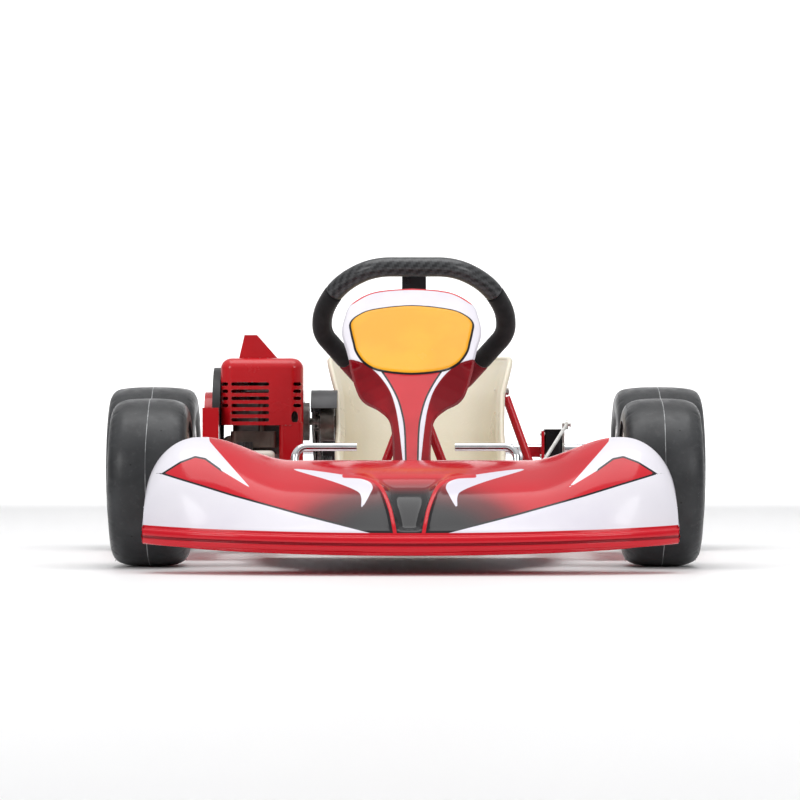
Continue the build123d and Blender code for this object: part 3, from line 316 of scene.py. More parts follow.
def cast_metal(name="cast_metal", color=(0.30, 0.285, 0.275, 1), dark=(0.12, 0.105, 0.10, 1)):
    """Sand-cast alloy: pitted skin, darker with oil in its hollows."""
    paint = Paint(name, Metallic=0.85)
    pits = paint.node("ShaderNodeTexVoronoi", {"Vector": paint.place, "Scale": 700.0}).outputs[0]
    base = paint.mix(paint.step(paint.noise(24, 7, 0.65), 0.35, 0.62), color, dark)
    base = paint.mix(paint.edges(), base, (0.55, 0.54, 0.52, 1))
    height = paint.math("ADD", pits, paint.noise(300, 4))
    return paint.finish(base, paint.step(paint.noise(50), 0.3, 0.7, 0.42, 0.62),
                        paint.bump(height, 0.00012))


def heat_steel():
    """Muffler skin, brown and blue with heat."""
    paint = Paint("heat_steel", Metallic=0.8)
    warm = paint.mix(paint.step(paint.noise(12, 5), 0.35, 0.65), (0.20, 0.165, 0.145, 1),
                     (0.09, 0.065, 0.055, 1))
    base = paint.mix(paint.step(paint.noise(30, 6), 0.58, 0.72), warm, (0.10, 0.12, 0.20, 1))
    return paint.finish(base, paint.step(paint.noise(60, 5), 0.3, 0.7, 0.35, 0.6),
                        paint.bump(paint.noise(350, 4), 0.00008))


def milky_tank():
    """Translucent moulded fuel tank, a little yellowed low down."""
    paint = Paint("milky_tank", Subsurface_Weight=0.35, Subsurface_Scale=0.01, IOR=1.5)
    paint.shader.inputs["Subsurface Radius"].default_value = (1.0, 0.8, 0.6)
    height = paint.node("ShaderNodeSeparateXYZ", {0: paint.place}).outputs[2]
    base = paint.mix(paint.step(height, 0.12, 0.155), (0.62, 0.50, 0.30, 1), (0.78, 0.73, 0.66, 1))
    base = paint.mix(paint.step(paint.noise(18, 5), 0.4, 0.7, 0, 0.3), base, (0.66, 0.62, 0.56, 1))
    return paint.finish(base, paint.step(paint.noise(40), 0.3, 0.7, 0.3, 0.45),
                        paint.bump(paint.noise(420, 2), 0.00012))


def tyre_rubber():
    """Slick racing rubber: moulding marks, a pale parting seam, scuffed shoulders."""
    paint = Paint("tyre_rubber", Specular_IOR_Level=0.42)
    grid = paint.node("ShaderNodeTexCoord").outputs["UV"]
    axes = paint.node("ShaderNodeSeparateXYZ", {0: grid}).outputs
    across = paint.math("MULTIPLY", paint.math("SUBTRACT", axes[1], 0.5), 200.0)
    spacing = paint.math("MULTIPLY", axes[0], TYRE_HOLES)
    wobble = paint.math("MULTIPLY", paint.math("SINE", paint.math("MULTIPLY", axes[0], 31.4)), 0.5)
    seam = paint.step(paint.math("ABSOLUTE", paint.math("ADD", across, wobble)), 0.75, 0.35)
    pitch = 2 * pi * 130 / TYRE_HOLES
    along = paint.math("MULTIPLY", paint.math("SUBTRACT", paint.math("FRACT", spacing), 0.5), pitch)
    even = paint.math("MODULO", paint.math("FLOOR", spacing), 2.0)
    lane = paint.math("SUBTRACT", paint.math("MULTIPLY", even, 44.0), 22.0)
    offset = paint.math("SUBTRACT", across, lane)
    away = paint.math("SQRT", paint.math("ADD", paint.math("MULTIPLY", along, along),
                                         paint.math("MULTIPLY", offset, offset)))
    hole = paint.step(away, 1.6, 1.1)
    broken = paint.step(paint.noise(35, 5, 0.6), 0.38, 0.62, 0.25, 1.0)
    base = paint.mix(paint.step(paint.noise(14, 6, 0.6), 0.3, 0.7), (0.018, 0.019, 0.021, 1),
                     (0.034, 0.036, 0.039, 1))
    dusty = paint.step(paint.noise(120, 6, 0.7), 0.52, 0.75, 0, 0.35)
    base = paint.mix(dusty, base, (0.075, 0.075, 0.078, 1))
    base = paint.mix(paint.math("MULTIPLY", seam, broken), base, (0.42, 0.43, 0.44, 1))
    base = paint.mix(hole, base, (0.002, 0.002, 0.002, 1))
    rings = paint.step(paint.noise(45, 4), 0.3, 0.7, 0.30, 0.46)
    height = paint.math("ADD", paint.noise(700, 3), paint.math("MULTIPLY", paint.noise(60, 5), 2.0))
    return paint.finish(base, rings, paint.bump(height, 0.00012))


def spun_alloy():
    """Turned rim metal with fine circular tool marks."""
    paint = Paint("spun_alloy", Metallic=1.0)
    base = paint.mix(paint.step(paint.noise(20, 5), 0.35, 0.7),
                     (0.66, 0.62, 0.60, 1), (0.48, 0.45, 0.44, 1))
    turned = paint.noise(90, 3, 0.6, (14, 0.6, 0.6))
    return paint.finish(base, paint.step(turned, 0.3, 0.7, 0.24, 0.42),
                        paint.bump(turned, 0.00005))


def seat_shell():
    """Gel-coated glass fibre: cream skin, faint fibre lay and a worn sheen."""
    paint = Paint("seat_shell", Coat_Weight=0.45, Coat_Roughness=0.16, Subsurface_Weight=0.06,
                  Subsurface_Scale=0.004)
    fibre = paint.noise(120, 5, 0.65, (1, 5, 1), 0.6)
    base = paint.mix(paint.step(paint.noise(5, 5), 0.35, 0.65), CREAM, (0.745, 0.68, 0.53, 1))
    base = paint.mix(paint.step(fibre, 0.5, 0.75, 0, 0.22), base, (0.90, 0.86, 0.74, 1))
    return paint.finish(base, paint.step(paint.noise(16, 6), 0.3, 0.7, 0.26, 0.42),
                        paint.bump(fibre, 0.00010))


def suede(name, color, dark):
    """Brushed suede over the wheel rim."""
    paint = Paint(name, Sheen_Weight=0.35, Sheen_Roughness=0.4, Specular_IOR_Level=0.25)
    nap = paint.noise(900, 4, 0.7)
    base = paint.mix(paint.step(paint.noise(30, 6, 0.65), 0.32, 0.68), color, dark)
    base = paint.mix(paint.step(nap, 0.35, 0.75, 0, 0.4), base, dark)
    return paint.finish(base, paint.step(paint.noise(50), 0.3, 0.7, 0.72, 0.9),
                        paint.bump(nap, 0.0003))


def carbon_weave():
    """Twill weave in a clear satin coat, laid out on the tube's own grid."""
    paint = Paint("carbon_weave", Coat_Weight=0.5, Coat_Roughness=0.22, Metallic=0.25)
    grid = paint.node("ShaderNodeTexCoord").outputs["UV"]
    axes = paint.node("ShaderNodeSeparateXYZ", {0: grid})
    along = paint.math("MULTIPLY", axes.outputs[0], 150.0)
    around = paint.math("MULTIPLY", axes.outputs[1], 26.0)
    turn = paint.math("FRACT", paint.math("MULTIPLY", paint.math(
        "ADD", paint.math("FLOOR", along), paint.math("FLOOR", around)), 0.25))
    tow = paint.step(turn, 0.3, 0.55)
    base = paint.mix(tow, (0.017, 0.018, 0.020, 1), (0.050, 0.052, 0.056, 1))
    return paint.finish(base, paint.step(tow, 0, 1, 0.34, 0.5), paint.bump(tow, 0.00012))


def thread():
    paint = Paint("thread", Sheen_Weight=0.3, Specular_IOR_Level=0.3)
    base = paint.mix(paint.step(paint.noise(900, 3), 0.4, 0.6),
                     (0.02, 0.02, 0.022, 1), (0.07, 0.07, 0.075, 1))
    return paint.finish(base, 0.75, paint.bump(paint.noise(1500, 3), 0.0002))


def nose_paint():
    """Body colours of the nose: white ends, red flashes, a centre that fades to black, and painted
    shade in the lip's groove.
    """
    paint = Paint("nose_paint", Coat_Weight=0.22, Coat_Roughness=0.06, Specular_IOR_Level=0.25)
    red = paint.mix(paint.step(paint.noise(7, 4), 0.35, 0.7), RED, (0.52, 0.005, 0.015, 1))
    fade = paint.step(paint.distance("fade"), 1.05, 0.30)
    body = paint.mix(paint.step(fade, 0.0, 0.55), red, (0.115, 0.002, 0.006, 1))
    body = paint.mix(paint.step(fade, 0.45, 1.0), body, BLACK)
    body = paint.mix(paint.inside("centre"), body, paint.mix(
        paint.step(paint.distance("height"), 112, 142), BLACK, red))
    white = paint.math("MAXIMUM", paint.inside("white"), paint.inside("hook"))
    soft_white = paint.mix(paint.step(paint.noise(5, 4), 0.4, 0.7), WHITE, (0.72, 0.69, 0.78, 1))
    body = paint.mix(white, body, soft_white)
    outline = paint.math("MULTIPLY", paint.border("white", 1.3), paint.inside("gate"))
    body = paint.mix(outline, body, BLACK)
    body = paint.mix(paint.border("rib_side", 2.6, 0.6), body, RED)
    # The lip is red, and its groove is painted deep red: painted shade in the groove that the mesh
    # also cuts in.
    body = paint.mix(paint.inside("lip"), body, paint.mix(
        paint.inside("lip_groove_shade", 0.0, 0.8), RED, DEEP_RED))
    rough = paint.step(paint.noise(14, 6), 0.3, 0.75, 0.12, 0.24)
    return paint.finish(body, rough, paint.bump(paint.noise(260, 2), 0.00005))


def panel_paint():
    """Body colours of the front panel: white frame, yellow plate, red stem and sides."""
    paint = Paint("panel_paint", Coat_Weight=0.22, Coat_Roughness=0.08, Specular_IOR_Level=0.25)
    red = paint.mix(paint.step(paint.noise(9, 4), 0.35, 0.7), RED, (0.50, 0.005, 0.015, 1))
    white = paint.mix(paint.step(paint.noise(8, 4), 0.4, 0.7), WHITE, (0.70, 0.67, 0.76, 1))
    body = paint.mix(paint.inside("side"), white, paint.mix(
        paint.step(paint.noise(12, 4), 0.4, 0.6), (0.36, 0.004, 0.012, 1), DEEP_RED))
    body = paint.mix(paint.inside("stem"), body, red)
    body = paint.mix(paint.inside("top_edge", -3.5), body, red)
    body = paint.mix(paint.border("stem", 1.4), body, BLACK)
    body = paint.mix(paint.border("side", 0.5), body, DEEP_RED)
    body = paint.mix(paint.inside("plate", -3.2), body, BLACK)
    plate = paint.mix(paint.step(paint.noise(11, 5), 0.35, 0.7), YELLOW, (0.87, 0.38, 0.008, 1))
    body = paint.mix(paint.inside("plate"), body, plate)
    return paint.finish(body, paint.step(paint.noise(18, 6), 0.3, 0.75, 0.16, 0.28),
                        paint.bump(paint.noise(300, 2), 0.00005))


enamel = gloss_paint("red_enamel", RED, (0.48, 0.005, 0.014, 1))
pod_red = gloss_paint("pod_red", RED, (0.50, 0.005, 0.016, 1), chips=False)
engine_red = gloss_paint("engine_red", (0.62, 0.008, 0.015, 1), (0.50, 0.004, 0.010, 1))
sheet_alloy = metal("sheet_alloy", (0.72, 0.73, 0.75, 1), (0.58, 0.59, 0.61, 1), (0.28, 0.46),
                    (1, 26, 1), 40)
turned_alloy = metal("turned_alloy", (0.74, 0.75, 0.77, 1), (0.60, 0.61, 0.63, 1), (0.2, 0.36),
                     (16, 1, 1), 50, worn=(0.9, 0.9, 0.92, 1))
ground_steel = metal("ground_steel", (0.52, 0.53, 0.55, 1), (0.36, 0.37, 0.39, 1), (0.22, 0.4),
                     (20, 1, 1), 50, worn=(0.75, 0.76, 0.78, 1))
zinc_plate = metal("zinc_plate", (0.70, 0.69, 0.66, 1), (0.52, 0.50, 0.46, 1), (0.25, 0.45),
                   None, 90, 0.00002, worn=(0.88, 0.87, 0.84, 1))
disc_steel = metal("disc_steel", (0.50, 0.51, 0.53, 1), (0.34, 0.345, 0.36, 1), (0.24, 0.38),
                   (1, 9, 9), 60)
chain_steel = metal("chain_steel", (0.24, 0.22, 0.20, 1), (0.10, 0.09, 0.08, 1), (0.3, 0.5),
                    None, 120, worn=(0.55, 0.54, 0.52, 1))
black_plastic = plastic("black_plastic", (0.012, 0.012, 0.014, 1), (0.028, 0.028, 0.031, 1))
guard_grey = plastic("guard_grey", (0.030, 0.031, 0.033, 1), (0.055, 0.056, 0.06, 1), (0.3, 0.5))
black_anodised = plastic("black_anodised", (0.010, 0.010, 0.012, 1), (0.022, 0.022, 0.026, 1),
                         (0.25, 0.42), 500, 0.00004, Metallic=0.6)
nylon = plastic("nylon", (0.02, 0.02, 0.022, 1), (0.04, 0.04, 0.043, 1), (0.4, 0.6))
chrome = chrome_plate()
cast_alloy = cast_metal()
muffler_steel = heat_steel()
tank_plastic = milky_tank()
rubber = tyre_rubber()
rim_alloy = spun_alloy()
cream_shell = seat_shell()

NODE_MATERIALS = {
    enamel: "main_frame bumper_bars seat_struts",
    pod_red: "side_pods",
    engine_red: "fan_shroud top_cover starter_cover",
    sheet_alloy: "floor_tray panel_bracket engine_mount",
    turned_alloy: "steering_hub axle_flanges axle_sprocket rear_hubs front_hub_left front_hub_right",
    ground_steel: "steering_column stub_axle_left stub_axle_right rear_axle axle_bearings brake_pads",
    zinc_plate: "frame_bolts steering_bolts stub_bolts_left stub_bolts_right tie_rod_left "
                "tie_rod_right brake_rod caliper_lever throttle_lever",
    disc_steel: "brake_disc",
    chain_steel: "chain engine_sprocket",
    black_plastic: "fan_housing airbox starter_handle fuel_cap",
    guard_grey: "chain_guard",
    black_anodised: "brake_caliper steering_wheel",
    nylon: "column_bearings",
    chrome: "rear_bumper brake_pedal throttle_pedal",
    cast_alloy: "crankcase cylinder carburettor",
    muffler_steel: "muffler",
    tank_plastic: "fuel_tank",
    rubber: "front_tyre_left front_tyre_right rear_tyres",
    rim_alloy: "front_rim_left front_rim_right rear_rims",
    cream_shell: "seat",
}
for material, names in NODE_MATERIALS.items():
    for name in names.split():
        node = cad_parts[name]
        node.data.materials.clear()
        node.data.materials.append(material)


# ---- Nose --------------------------------------------------------------------------------
NOSE_WALL = 3.0
LIP_STEP = 9
WHITE_END = [(228, 123), (292, 190), (300, 215), (430, 215), (430, 142), (359, 143), (332, 160),
             (311, 168), (296, 165), (271, 148)]
WEDGE_LINE = [(32, 56), (153, 86), (253, 113), (303, 128), (359, 144)]
LINE_GATE = [(264, 138), (290, 174), (311, 180), (340, 170), (374, 146), (360, 110), (153, 66),
             (22, 46), (24, 62), (153, 96), (246, 118)]
HOOK = [(170, 150), (104, 143), (64, 134), (53, 126), (56, 116), (68, 96), (69, 111), (77, 120),
        (112, 133)]
RIB = [(95, 140), (64, 137), (42, 125), (29, 98), (23, 74), (19, 52)]


def nose_outline(out):
    """(y, z) points of the nose's outer skin at a share of its half width."""
    front = NOSE_FRONT + 62 * out**2 + 38 * out**8
    rear = NOSE_FRONT + 205 - 50 * out**2
    end = max(0, (out - 0.8) / 0.2)
    top = 163 + 34 * float(ease((out - 0.45) / 0.33)) - 95 * (1 - sqrt(max(0, 1 - end * end)))
    lip = 57 + 9 * out**2
    low = 30 + 12 * out**2
    deep = rear - front
    upper = smooth_line([
        (rear + 6, top - 9),
        (rear + 2, top - 1),
        (rear - 0.32 * deep, top - 0.16 * (top - lip)),
        (front + 0.30 * deep, lip + 0.52 * (top - lip)),
        (front + LIP_STEP + 2, lip + 6),
    ], 18)
    step = smooth_line([(front + LIP_STEP, lip + 2.5), (front + LIP_STEP - 1, lip - 0.5),
                        (front + 1, lip - 3), (front, lip - 9)], 4)
    lower = smooth_line([(front + 0.3, lip - 11), (front + 2.4, lip - 13), (front + 0.6, lip - 15.5),
                         (front + 1, low + 7), (front + 3, low + 2), (front + 12, low),
                         (rear - 20, low)], 4)
    return upper + step[1:] + lower


def nose_piece():
    columns = 341
    rows = []
    for step in range(columns):
        share = 2 * step / (columns - 1) - 1
        out = (1 - (1 - abs(share)) ** 1.25) * (1 if share > 0 else -1)
        rows.append([(NOSE_X + out * NOSE_HALF, y, z) for y, z in nose_outline(abs(out))])
    length = len(rows[0])
    points = np.array([point for row in rows for point in row])
    flat = np.stack([np.abs(points[:, 0] - GRAPHIC_X), points[:, 2]], axis=1)
    above = ease((points[:, 2] - 62) / 10)
    rib_line = smooth_line(RIB)
    to_rib = distance_to(flat, rib_line, closed=False)
    in_centre = distance_to(flat, rib_line + [(-60, 50), (-60, 141)])
    fade_rib = ease((112 - flat[:, 0]) / 60)
    hollow = 9 * ease(in_centre / 16) * above * ease((150 - points[:, 2]) / 22)
    ridge = 4.5 * np.exp(-(to_rib / 4.2) ** 2) * above * fade_rib
    points[:, 1] = np.maximum(points[:, 1] + hollow - ridge, NOSE_FRONT)
    points[:, 2] -= 0.35 * hollow - 0.3 * ridge
    faces = grid_faces(columns, length)
    caps = []
    for row in (0, columns - 1):
        first = row * length
        half = length // 2
        for index in range(half):
            a, b = first + index, first + index + 1
            c, d = first + length - 2 - index, first + length - 1 - index
            if b < c:
                caps.append((a, b, c, d) if row == 0 else (d, c, b, a))
    piece = mesh_piece("nose_skin", points.tolist(), faces + caps, "chassis",
                       ["nose_fairing"])
    lip_line = 57 + 9 * (np.abs(points[:, 0] - NOSE_X) / NOSE_HALF) ** 2
    wedge = WEDGE_LINE + [(430, 150), (430, 0), (32, 0)]
    white = np.maximum(distance_to(flat, WHITE_END), distance_to(flat, wedge))
    keep_distance(piece, "white", white)
    keep_distance(piece, "gate", distance_to(flat, LINE_GATE))
    keep_distance(piece, "hook", distance_to(flat, smooth_line(HOOK, 4, True)))
    keep_distance(piece, "rib_side", np.where(fade_rib > 0.02, in_centre, -20))
    keep_distance(piece, "centre", in_centre)
    keep_distance(piece, "lip", lip_line + 3.5 - points[:, 2])
    # Band along the lip's groove, where its painted shade goes.
    keep_distance(piece, "lip_groove_shade", 2.2 - np.abs(points[:, 2] - lip_line + 13))
    keep_distance(piece, "height", points[:, 2])
    keep_distance(piece, "fade", np.hypot(flat[:, 0] / 215, (points[:, 2] - 60) / 88))
    piece.data.materials.append(nose_paint())
    modify(piece, "SOLIDIFY", thickness=NOSE_WALL * MM, offset=-1, use_even_offset=False)
    return piece


nose_piece()

# ---- Front panel -------------------------------------------------------------------------
PANEL_TILT = radians(52)
PANEL_UP = Vector((0, cos(PANEL_TILT), sin(PANEL_TILT)))
PANEL_OUT = Vector((0, -sin(PANEL_TILT), cos(PANEL_TILT)))
PANEL_FOOT = Vector((PANEL_X, -395, 150))
PANEL_BOW = 300
PANEL_HALF = [(0, 350), (60, 343), (94, 321), (104, 294), (108, 262), (100, 227), (93, 197),
              (77, 154), (50, 123), (33, 93), (28.5, 39), (29.5, 0)]
PLATE = [(0, 313), (57, 306), (81, 295), (93, 280), (91.5, 261), (88, 243), (83, 222), (69, 200),
         (46, 187), (0, 181)]
STEM_LINE = [(46, 186), (33.5, 162), (22, 134), (15, 106), (10.5, 71), (8.7, 0)]
BAND_LINE = [(112, 214), (92, 208), (73, 200), (55, 183), (40.5, 161), (31, 139), (23.4, 106),
             (18.3, 63), (13, 0)]


def panel_piece():
    outline = smooth_line(PANEL_HALF, 8)
    ups = np.array([p[1] for p in outline])[::-1]
    halves = np.array([p[0] for p in outline])[::-1]
    fold_up = np.array([p[1] for p in BAND_LINE])[::-1]
    fold_x = np.array([p[0] for p in BAND_LINE])[::-1]
    crown = 350 - 30 * (1 - np.linspace(0.04, 1, 30)) ** 2
    levels = np.concatenate([np.linspace(0, 320, 120), crown])
    columns = 121
    whole_plate = smooth_line(PLATE + [(-x, up) for x, up in PLATE[-2:0:-1]], 5, True)
    points, flat = [], []
    for up in levels:
        half = max(float(np.interp(up, ups, halves)), 0.5)
        fold = float(np.interp(up, fold_up, fold_x))
        for step in range(columns):
            x = half * sin(pi / 2 * (2 * step / (columns - 1) - 1))
            drop = PANEL_BOW - sqrt(PANEL_BOW**2 - x**2)
            beyond = max(abs(x) - fold, 0) * float(ease((222 - up) / 20))
            rim = max(abs(x) - half + 3, 0)
            to_plate = distance_to(np.array([[abs(x), up]]), whole_plate)[0]
            raised = 2.5 * float(ease((to_plate + 3) / 5))
            height = raised - 0.75 * beyond - 1.0 * rim
            spot = PANEL_FOOT + PANEL_UP * (up + 0.78 * drop) + PANEL_OUT * height
            points.append(spot + Vector((x, 0, 0)) - PANEL_OUT * drop)
            flat.append((abs(x), up))
    flat = np.array(flat)
    piece = mesh_piece("front_panel_skin", points, grid_faces(len(levels), columns), "chassis",
                       ["front_panel"])
    stem = smooth_line(STEM_LINE) + [(-60, -20), (-60, 230), (46, 230)]
    side = smooth_line(BAND_LINE) + [(150, -20), (150, 214)]
    top = smooth_line([(-60, 343)] + PANEL_HALF[:3], 6) + [(94, 400), (-60, 400)]
    keep_distance(piece, "plate", distance_to(flat, whole_plate))
    keep_distance(piece, "stem", distance_to(flat, stem))
    keep_distance(piece, "side", distance_to(flat, side))
    keep_distance(piece, "top_edge", distance_to(flat, top))
    piece.data.materials.append(panel_paint())
    modify(piece, "SOLIDIFY", thickness=2.5 * MM, offset=-1)
    return piece


panel_piece()

# ---- Tyres -------------------------------------------------------------------------------
def tyre_profile(radius, half, bead):
    """(x, radius) outline of a slick tyre from bead to bead, outside then inside."""
    crown = 3
    side = [
        (0, radius), (0.3 * half, radius - 0.35), (0.56 * half, radius - 1.6),
        (half - 17, radius - crown - 0.9), (half - 8, radius - 8.5), (half - 2.2, radius - 17),
        (half - 0.3, radius - 27), (half, radius - 34), (half - 2, 96), (half - 7, 88.5),
        (bead + 5, 82), (bead + 1.2, 78.5),
    ]
    outer = smooth_line(side, 5)
    inner = [(bead - 4, 76.5), (bead - 6, 66), (bead - 9, 66), (half - 9, 92),
             (half - 8, radius - 30), (half - 20, radius - 12), (0, radius - 8)]
    half_line = [tuple(p) for p in outer] + smooth_line(inner, 3)
    return [(-x, r) for x, r in half_line[::-1]][:-1] + [tuple(p) for p in half_line][1:]


def tyre_piece(name, at, radius, half, bead, body, node):
    profile = tyre_profile(radius, half, bead)
    steps = 240
    points, faces = lathe(profile, steps)
    points = np.array(points)
    x = points[:, 0]
    r = np.hypot(points[:, 1], points[:, 2])
    angle = np.arctan2(points[:, 2], points[:, 1])
    grooves = 36
    shoulder = (np.abs(x) > half - 15) & (r > radius - 26) & (r < radius - 5)
    wave = np.abs(np.angle(np.exp(1j * (angle * grooves))) / grooves * radius)
    sink = np.where(shoulder, 0.9 * np.exp(-(wave / 1.1) ** 2), 0)
    scale = (r - sink) / r
    points[:, 1] *= scale
    points[:, 2] *= scale
    place = Vector(at)
    hairs = []
    for index in range(36):
        for side_sign in (-1, 1):
            spot = 2 * pi * (index + 0.5 + 0.2 * sin(7 * index)) / 36
            reach = 3.5 + 1.5 * sin(11 * index + side_sign)
            root = Vector((side_sign * (half - 6.5), (radius - 10.2) * cos(spot),
                           (radius - 10.2) * sin(spot)))
            away = Vector((side_sign * 0.45, cos(spot), sin(spot))).normalized()
            lean = Vector((0, -sin(spot), cos(spot))) * 0.5 * sin(5 * index)
            hairs.append(hair(root, root + (away + lean) * reach, 0.45))
    body_points = [tuple(p) for p in points]
    all_points, all_faces = join_lists([(body_points, faces)] + hairs)
    moved = [Vector(p) + place for p in all_points]
    piece = mesh_piece(name, moved, all_faces, body, [node], at)
    uv = piece.data.uv_layers.new(name="UVMap")
    width = len(profile)
    for polygon in piece.data.polygons:
        rows = [piece.data.loops[k].vertex_index // width for k in polygon.loop_indices]
        for k, row in zip(polygon.loop_indices, rows):
            index = piece.data.loops[k].vertex_index
            if index >= len(body_points):
                uv.data[k].uv = (0, 0.05)
                continue
            turn = steps if row == 0 and max(rows) > steps / 2 else row
            tread = 0.5 + x[index] / 200 if r[index] > radius - 7 else 0.05
            uv.data[k].uv = (turn / steps, tread)
    piece.data.materials.append(rubber)


def hair(root, tip, thick):
    """A tapered vent spike of three sides."""
    away = (tip - root).normalized()
    across = away.orthogonal().normalized()
    up = away.cross(across)
    ring_points = [root + (across * cos(a) + up * sin(a)) * thick
                   for a in (0, 2 * pi / 3, 4 * pi / 3)]
    middle = (root + tip) / 2
    mid_points = [middle + (p - root) * 0.7 for p in ring_points]
    points = ring_points + mid_points + [tip]
    faces = [(0, 1, 4, 3), (1, 2, 5, 4), (2, 0, 3, 5), (3, 4, 6), (4, 5, 6), (5, 3, 6)]
    return [tuple(p) for p in points], faces


def tyre_sizes(node, side=0):
    """Centre, radius and half width of a tyre node; side picks one of a pair."""
    low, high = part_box(node)
    radius = (high.z - low.z) / 2 / MM
    centre = (low + high) / 2 / MM
    half = (high.x - low.x) / 2 / MM - 0.2
    if side:
        half = REAR_TYRE_HALF
        centre.x = side * (high.x / MM - half)
    return centre, radius, half


REAR_TYRE_HALF = 75
for side, name in ((1, "left"), (-1, "right")):
    centre, radius, half = tyre_sizes(f"front_tyre_{name}")
    tyre_piece(f"front_slick_{name}", centre, radius, half, half - 8, f"wheel_front_{name}",
               f"front_tyre_{name}")
    centre, radius, half = tyre_sizes("rear_tyres", side)
    tyre_piece(f"rear_slick_{name}", centre, radius, half, half - 11, "rear_axle", "rear_tyres")

# ---- Seat --------------------------------------------------------------------------------
SEAT_X = 24
SEAT_SECTIONS = np.array([
    (44, 112, 95, 300, 55), (75, 127, 76, 322, 60), (120, 134, 62, 345, 60),
    (200, 131, 72, 378, 60), (265, 136, 90, 408, 55), (323, 155, 105, 436, 50),
], float)
SEAT_RIM = np.array(smooth_line([(20, 126), (150, 130), (225, 156), (290, 222), (335, 290),
                                 (350, 322), (440, 323)], 6))


def seat_ring(z, share):
    """Point on the seat's level section at a height; share goes round from the front's middle."""
    half, front, back, corner = (float(np.interp(z, SEAT_SECTIONS[:, 0], SEAT_SECTIONS[:, k]))
                                 for k in (1, 2, 3, 4))
    power = 3.6
    angle = 2 * pi * share - pi / 2
    c, s = cos(angle), sin(angle)
    x = half * abs(c) ** (2 / power) * (1 if c > 0 else -1)
    y = (front + back) / 2 + (back - front) / 2 * abs(s) ** (2 / power) * (1 if s > 0 else -1)
    return x, y


def seat_top(x, y):
    """Height of the rim above a place on the plan."""
    z = float(np.interp(y, SEAT_RIM[:, 0], SEAT_RIM[:, 1]))
    cut = float(ease((96 - abs(x)) / 26) * ease((140 - y) / 26))
    return z - (z - 96) * cut


def seat_piece():
    around, levels = 144, 46
    points = []
    top_line = []
    for column in range(around):
        share = (column + 0.5) / around
        z = 200.0
        for repeat in range(12):
            x, y = seat_ring(z, share)
            z = 0.5 * z + 0.5 * seat_top(x, y)
        top_line.append(z)
    tops = np.array(top_line)
    for repeat in range(2):
        tops = (np.roll(tops, 1) + 2 * tops + np.roll(tops, -1)) / 4
    for level in range(levels):
        t = level / (levels - 1)
        for column in range(around):
            share = (column + 0.5) / around
            z = 46 + (tops[column] - 46) * t
            x, y = seat_ring(z, share)
            curve = 20 * (1 - min((z - 46) / 40, 1)) ** 2.2
            middle_y = 198
            length = max(sqrt(x * x + (y - middle_y) ** 2), 1)
            x -= x / length * curve
            y -= (y - middle_y) / length * curve
            flare = 9 * float(ease((t - 0.86) / 0.14)) * float(ease((tops[column] - 118) / 60))
            x += x / length * flare * 0.7
            points.append((SEAT_X + x, y, z))
    faces = grid_faces(levels, around, closed=True)
    base = [points[column] for column in range(around)]
    for ring_step in range(1, 12):
        shrink = 1 - ring_step / 12
        for x, y, z in base:
            points.append((SEAT_X + (x - SEAT_X) * shrink, 198 + (y - 198) * shrink,
                           46 - 1.5 * (1 - shrink)))
    shift = levels * around
    for ring_step in range(11):
        inner = shift + ring_step * around
        outer = inner - around if ring_step else 0
        for column in range(around):
            after = (column + 1) % around
            faces.append((outer + after, outer + column, inner + column, inner + after))
    points.append((SEAT_X, 198, 44.5))
    last = shift + 10 * around
    for column in range(around):
        faces.append((last + (column + 1) % around, last + column, len(points) - 1))
    shell = mesh_piece("seat_shell", points, faces, "chassis", ["seat"])
    shell.data.materials.append(cream_shell)
    modify(shell, "SOLIDIFY", thickness=4.5 * MM, offset=-1)
    rim = [Vector(p) for p in points[(levels - 1) * around:levels * around]]
    bead = tube(rim, 5.2, 12, closed=True)
    piece = mesh_piece("seat_rim", bead[0], bead[1], "chassis")
    piece.data.materials.append(cream_shell)


def tube(path, radius, sides, closed=False, flat=1.0, cap=False):
    """Round bar along points, as (points, faces); radius may be a list, one for each point."""
    count = len(path)
    radii = radius if hasattr(radius, "__len__") else [radius] * count
    points = []
    normal = None
    for index, here in enumerate(path):
        before = path[index - 1] if closed or index else path[0]
        after = path[(index + 1) % count] if closed or index < count - 1 else path[-1]
        tangent = (after - before).normalized()
        if normal is None:
            normal = tangent.orthogonal().normalized()
        normal = (normal - tangent * normal.dot(tangent)).normalized()
        across = tangent.cross(normal)
        for step in range(sides):
            angle = 2 * pi * step / sides
            spoke = normal * cos(angle) + across * sin(angle) * flat
            points.append(here + spoke * radii[index])
    faces = grid_faces(count, sides, True, wrap_rows=closed)
    if cap and not closed:
        faces.append(tuple(reversed(range(sides))))
        faces.append(tuple(range((count - 1) * sides, count * sides)))
    return [tuple(p) for p in points], faces


seat_piece()

# ---- Steering wheel grip -----------------------------------------------------------------
COLUMN_TILT = radians(44)
WHEEL_UP = Vector((0, -sin(COLUMN_TILT), cos(COLUMN_TILT)))
WHEEL_HALF = [(66, 146.5, 90), (119.5, 109, 120), (146.5, 50, 110), (147.5, 5, 60), (67, -119, 60)]
WHEEL_CORNERS = WHEEL_HALF + [(-x, up, bend) for x, up, bend in reversed(WHEEL_HALF)]
GRIP_RADIUS = 15.5


def wheel_path():
    """Even points along the wheel rim's centre line, clockwise from the top's middle."""
    loop = [WHEEL_AT + Vector((p.x, 0, 0)) + WHEEL_UP * p.y for p in rounded(WHEEL_CORNERS)]
    steps = [(loop[(i + 1) % len(loop)] - loop[i]).length for i in range(len(loop))]
    lengths = np.cumsum([0] + steps)
    places = np.array([list(p) for p in loop + loop[:1]])
    total = lengths[-1]
    count = 480
    even = [Vector([np.interp(total * i / count, lengths, places[:, k]) for k in range(3)])
            for i in range(count)]
    start = min(range(count), key=lambda i: (abs(even[i].x - WHEEL_AT.x)
                                             + (0 if even[i].z > WHEEL_AT.z else 999)))
    return even[start:] + even[:start]


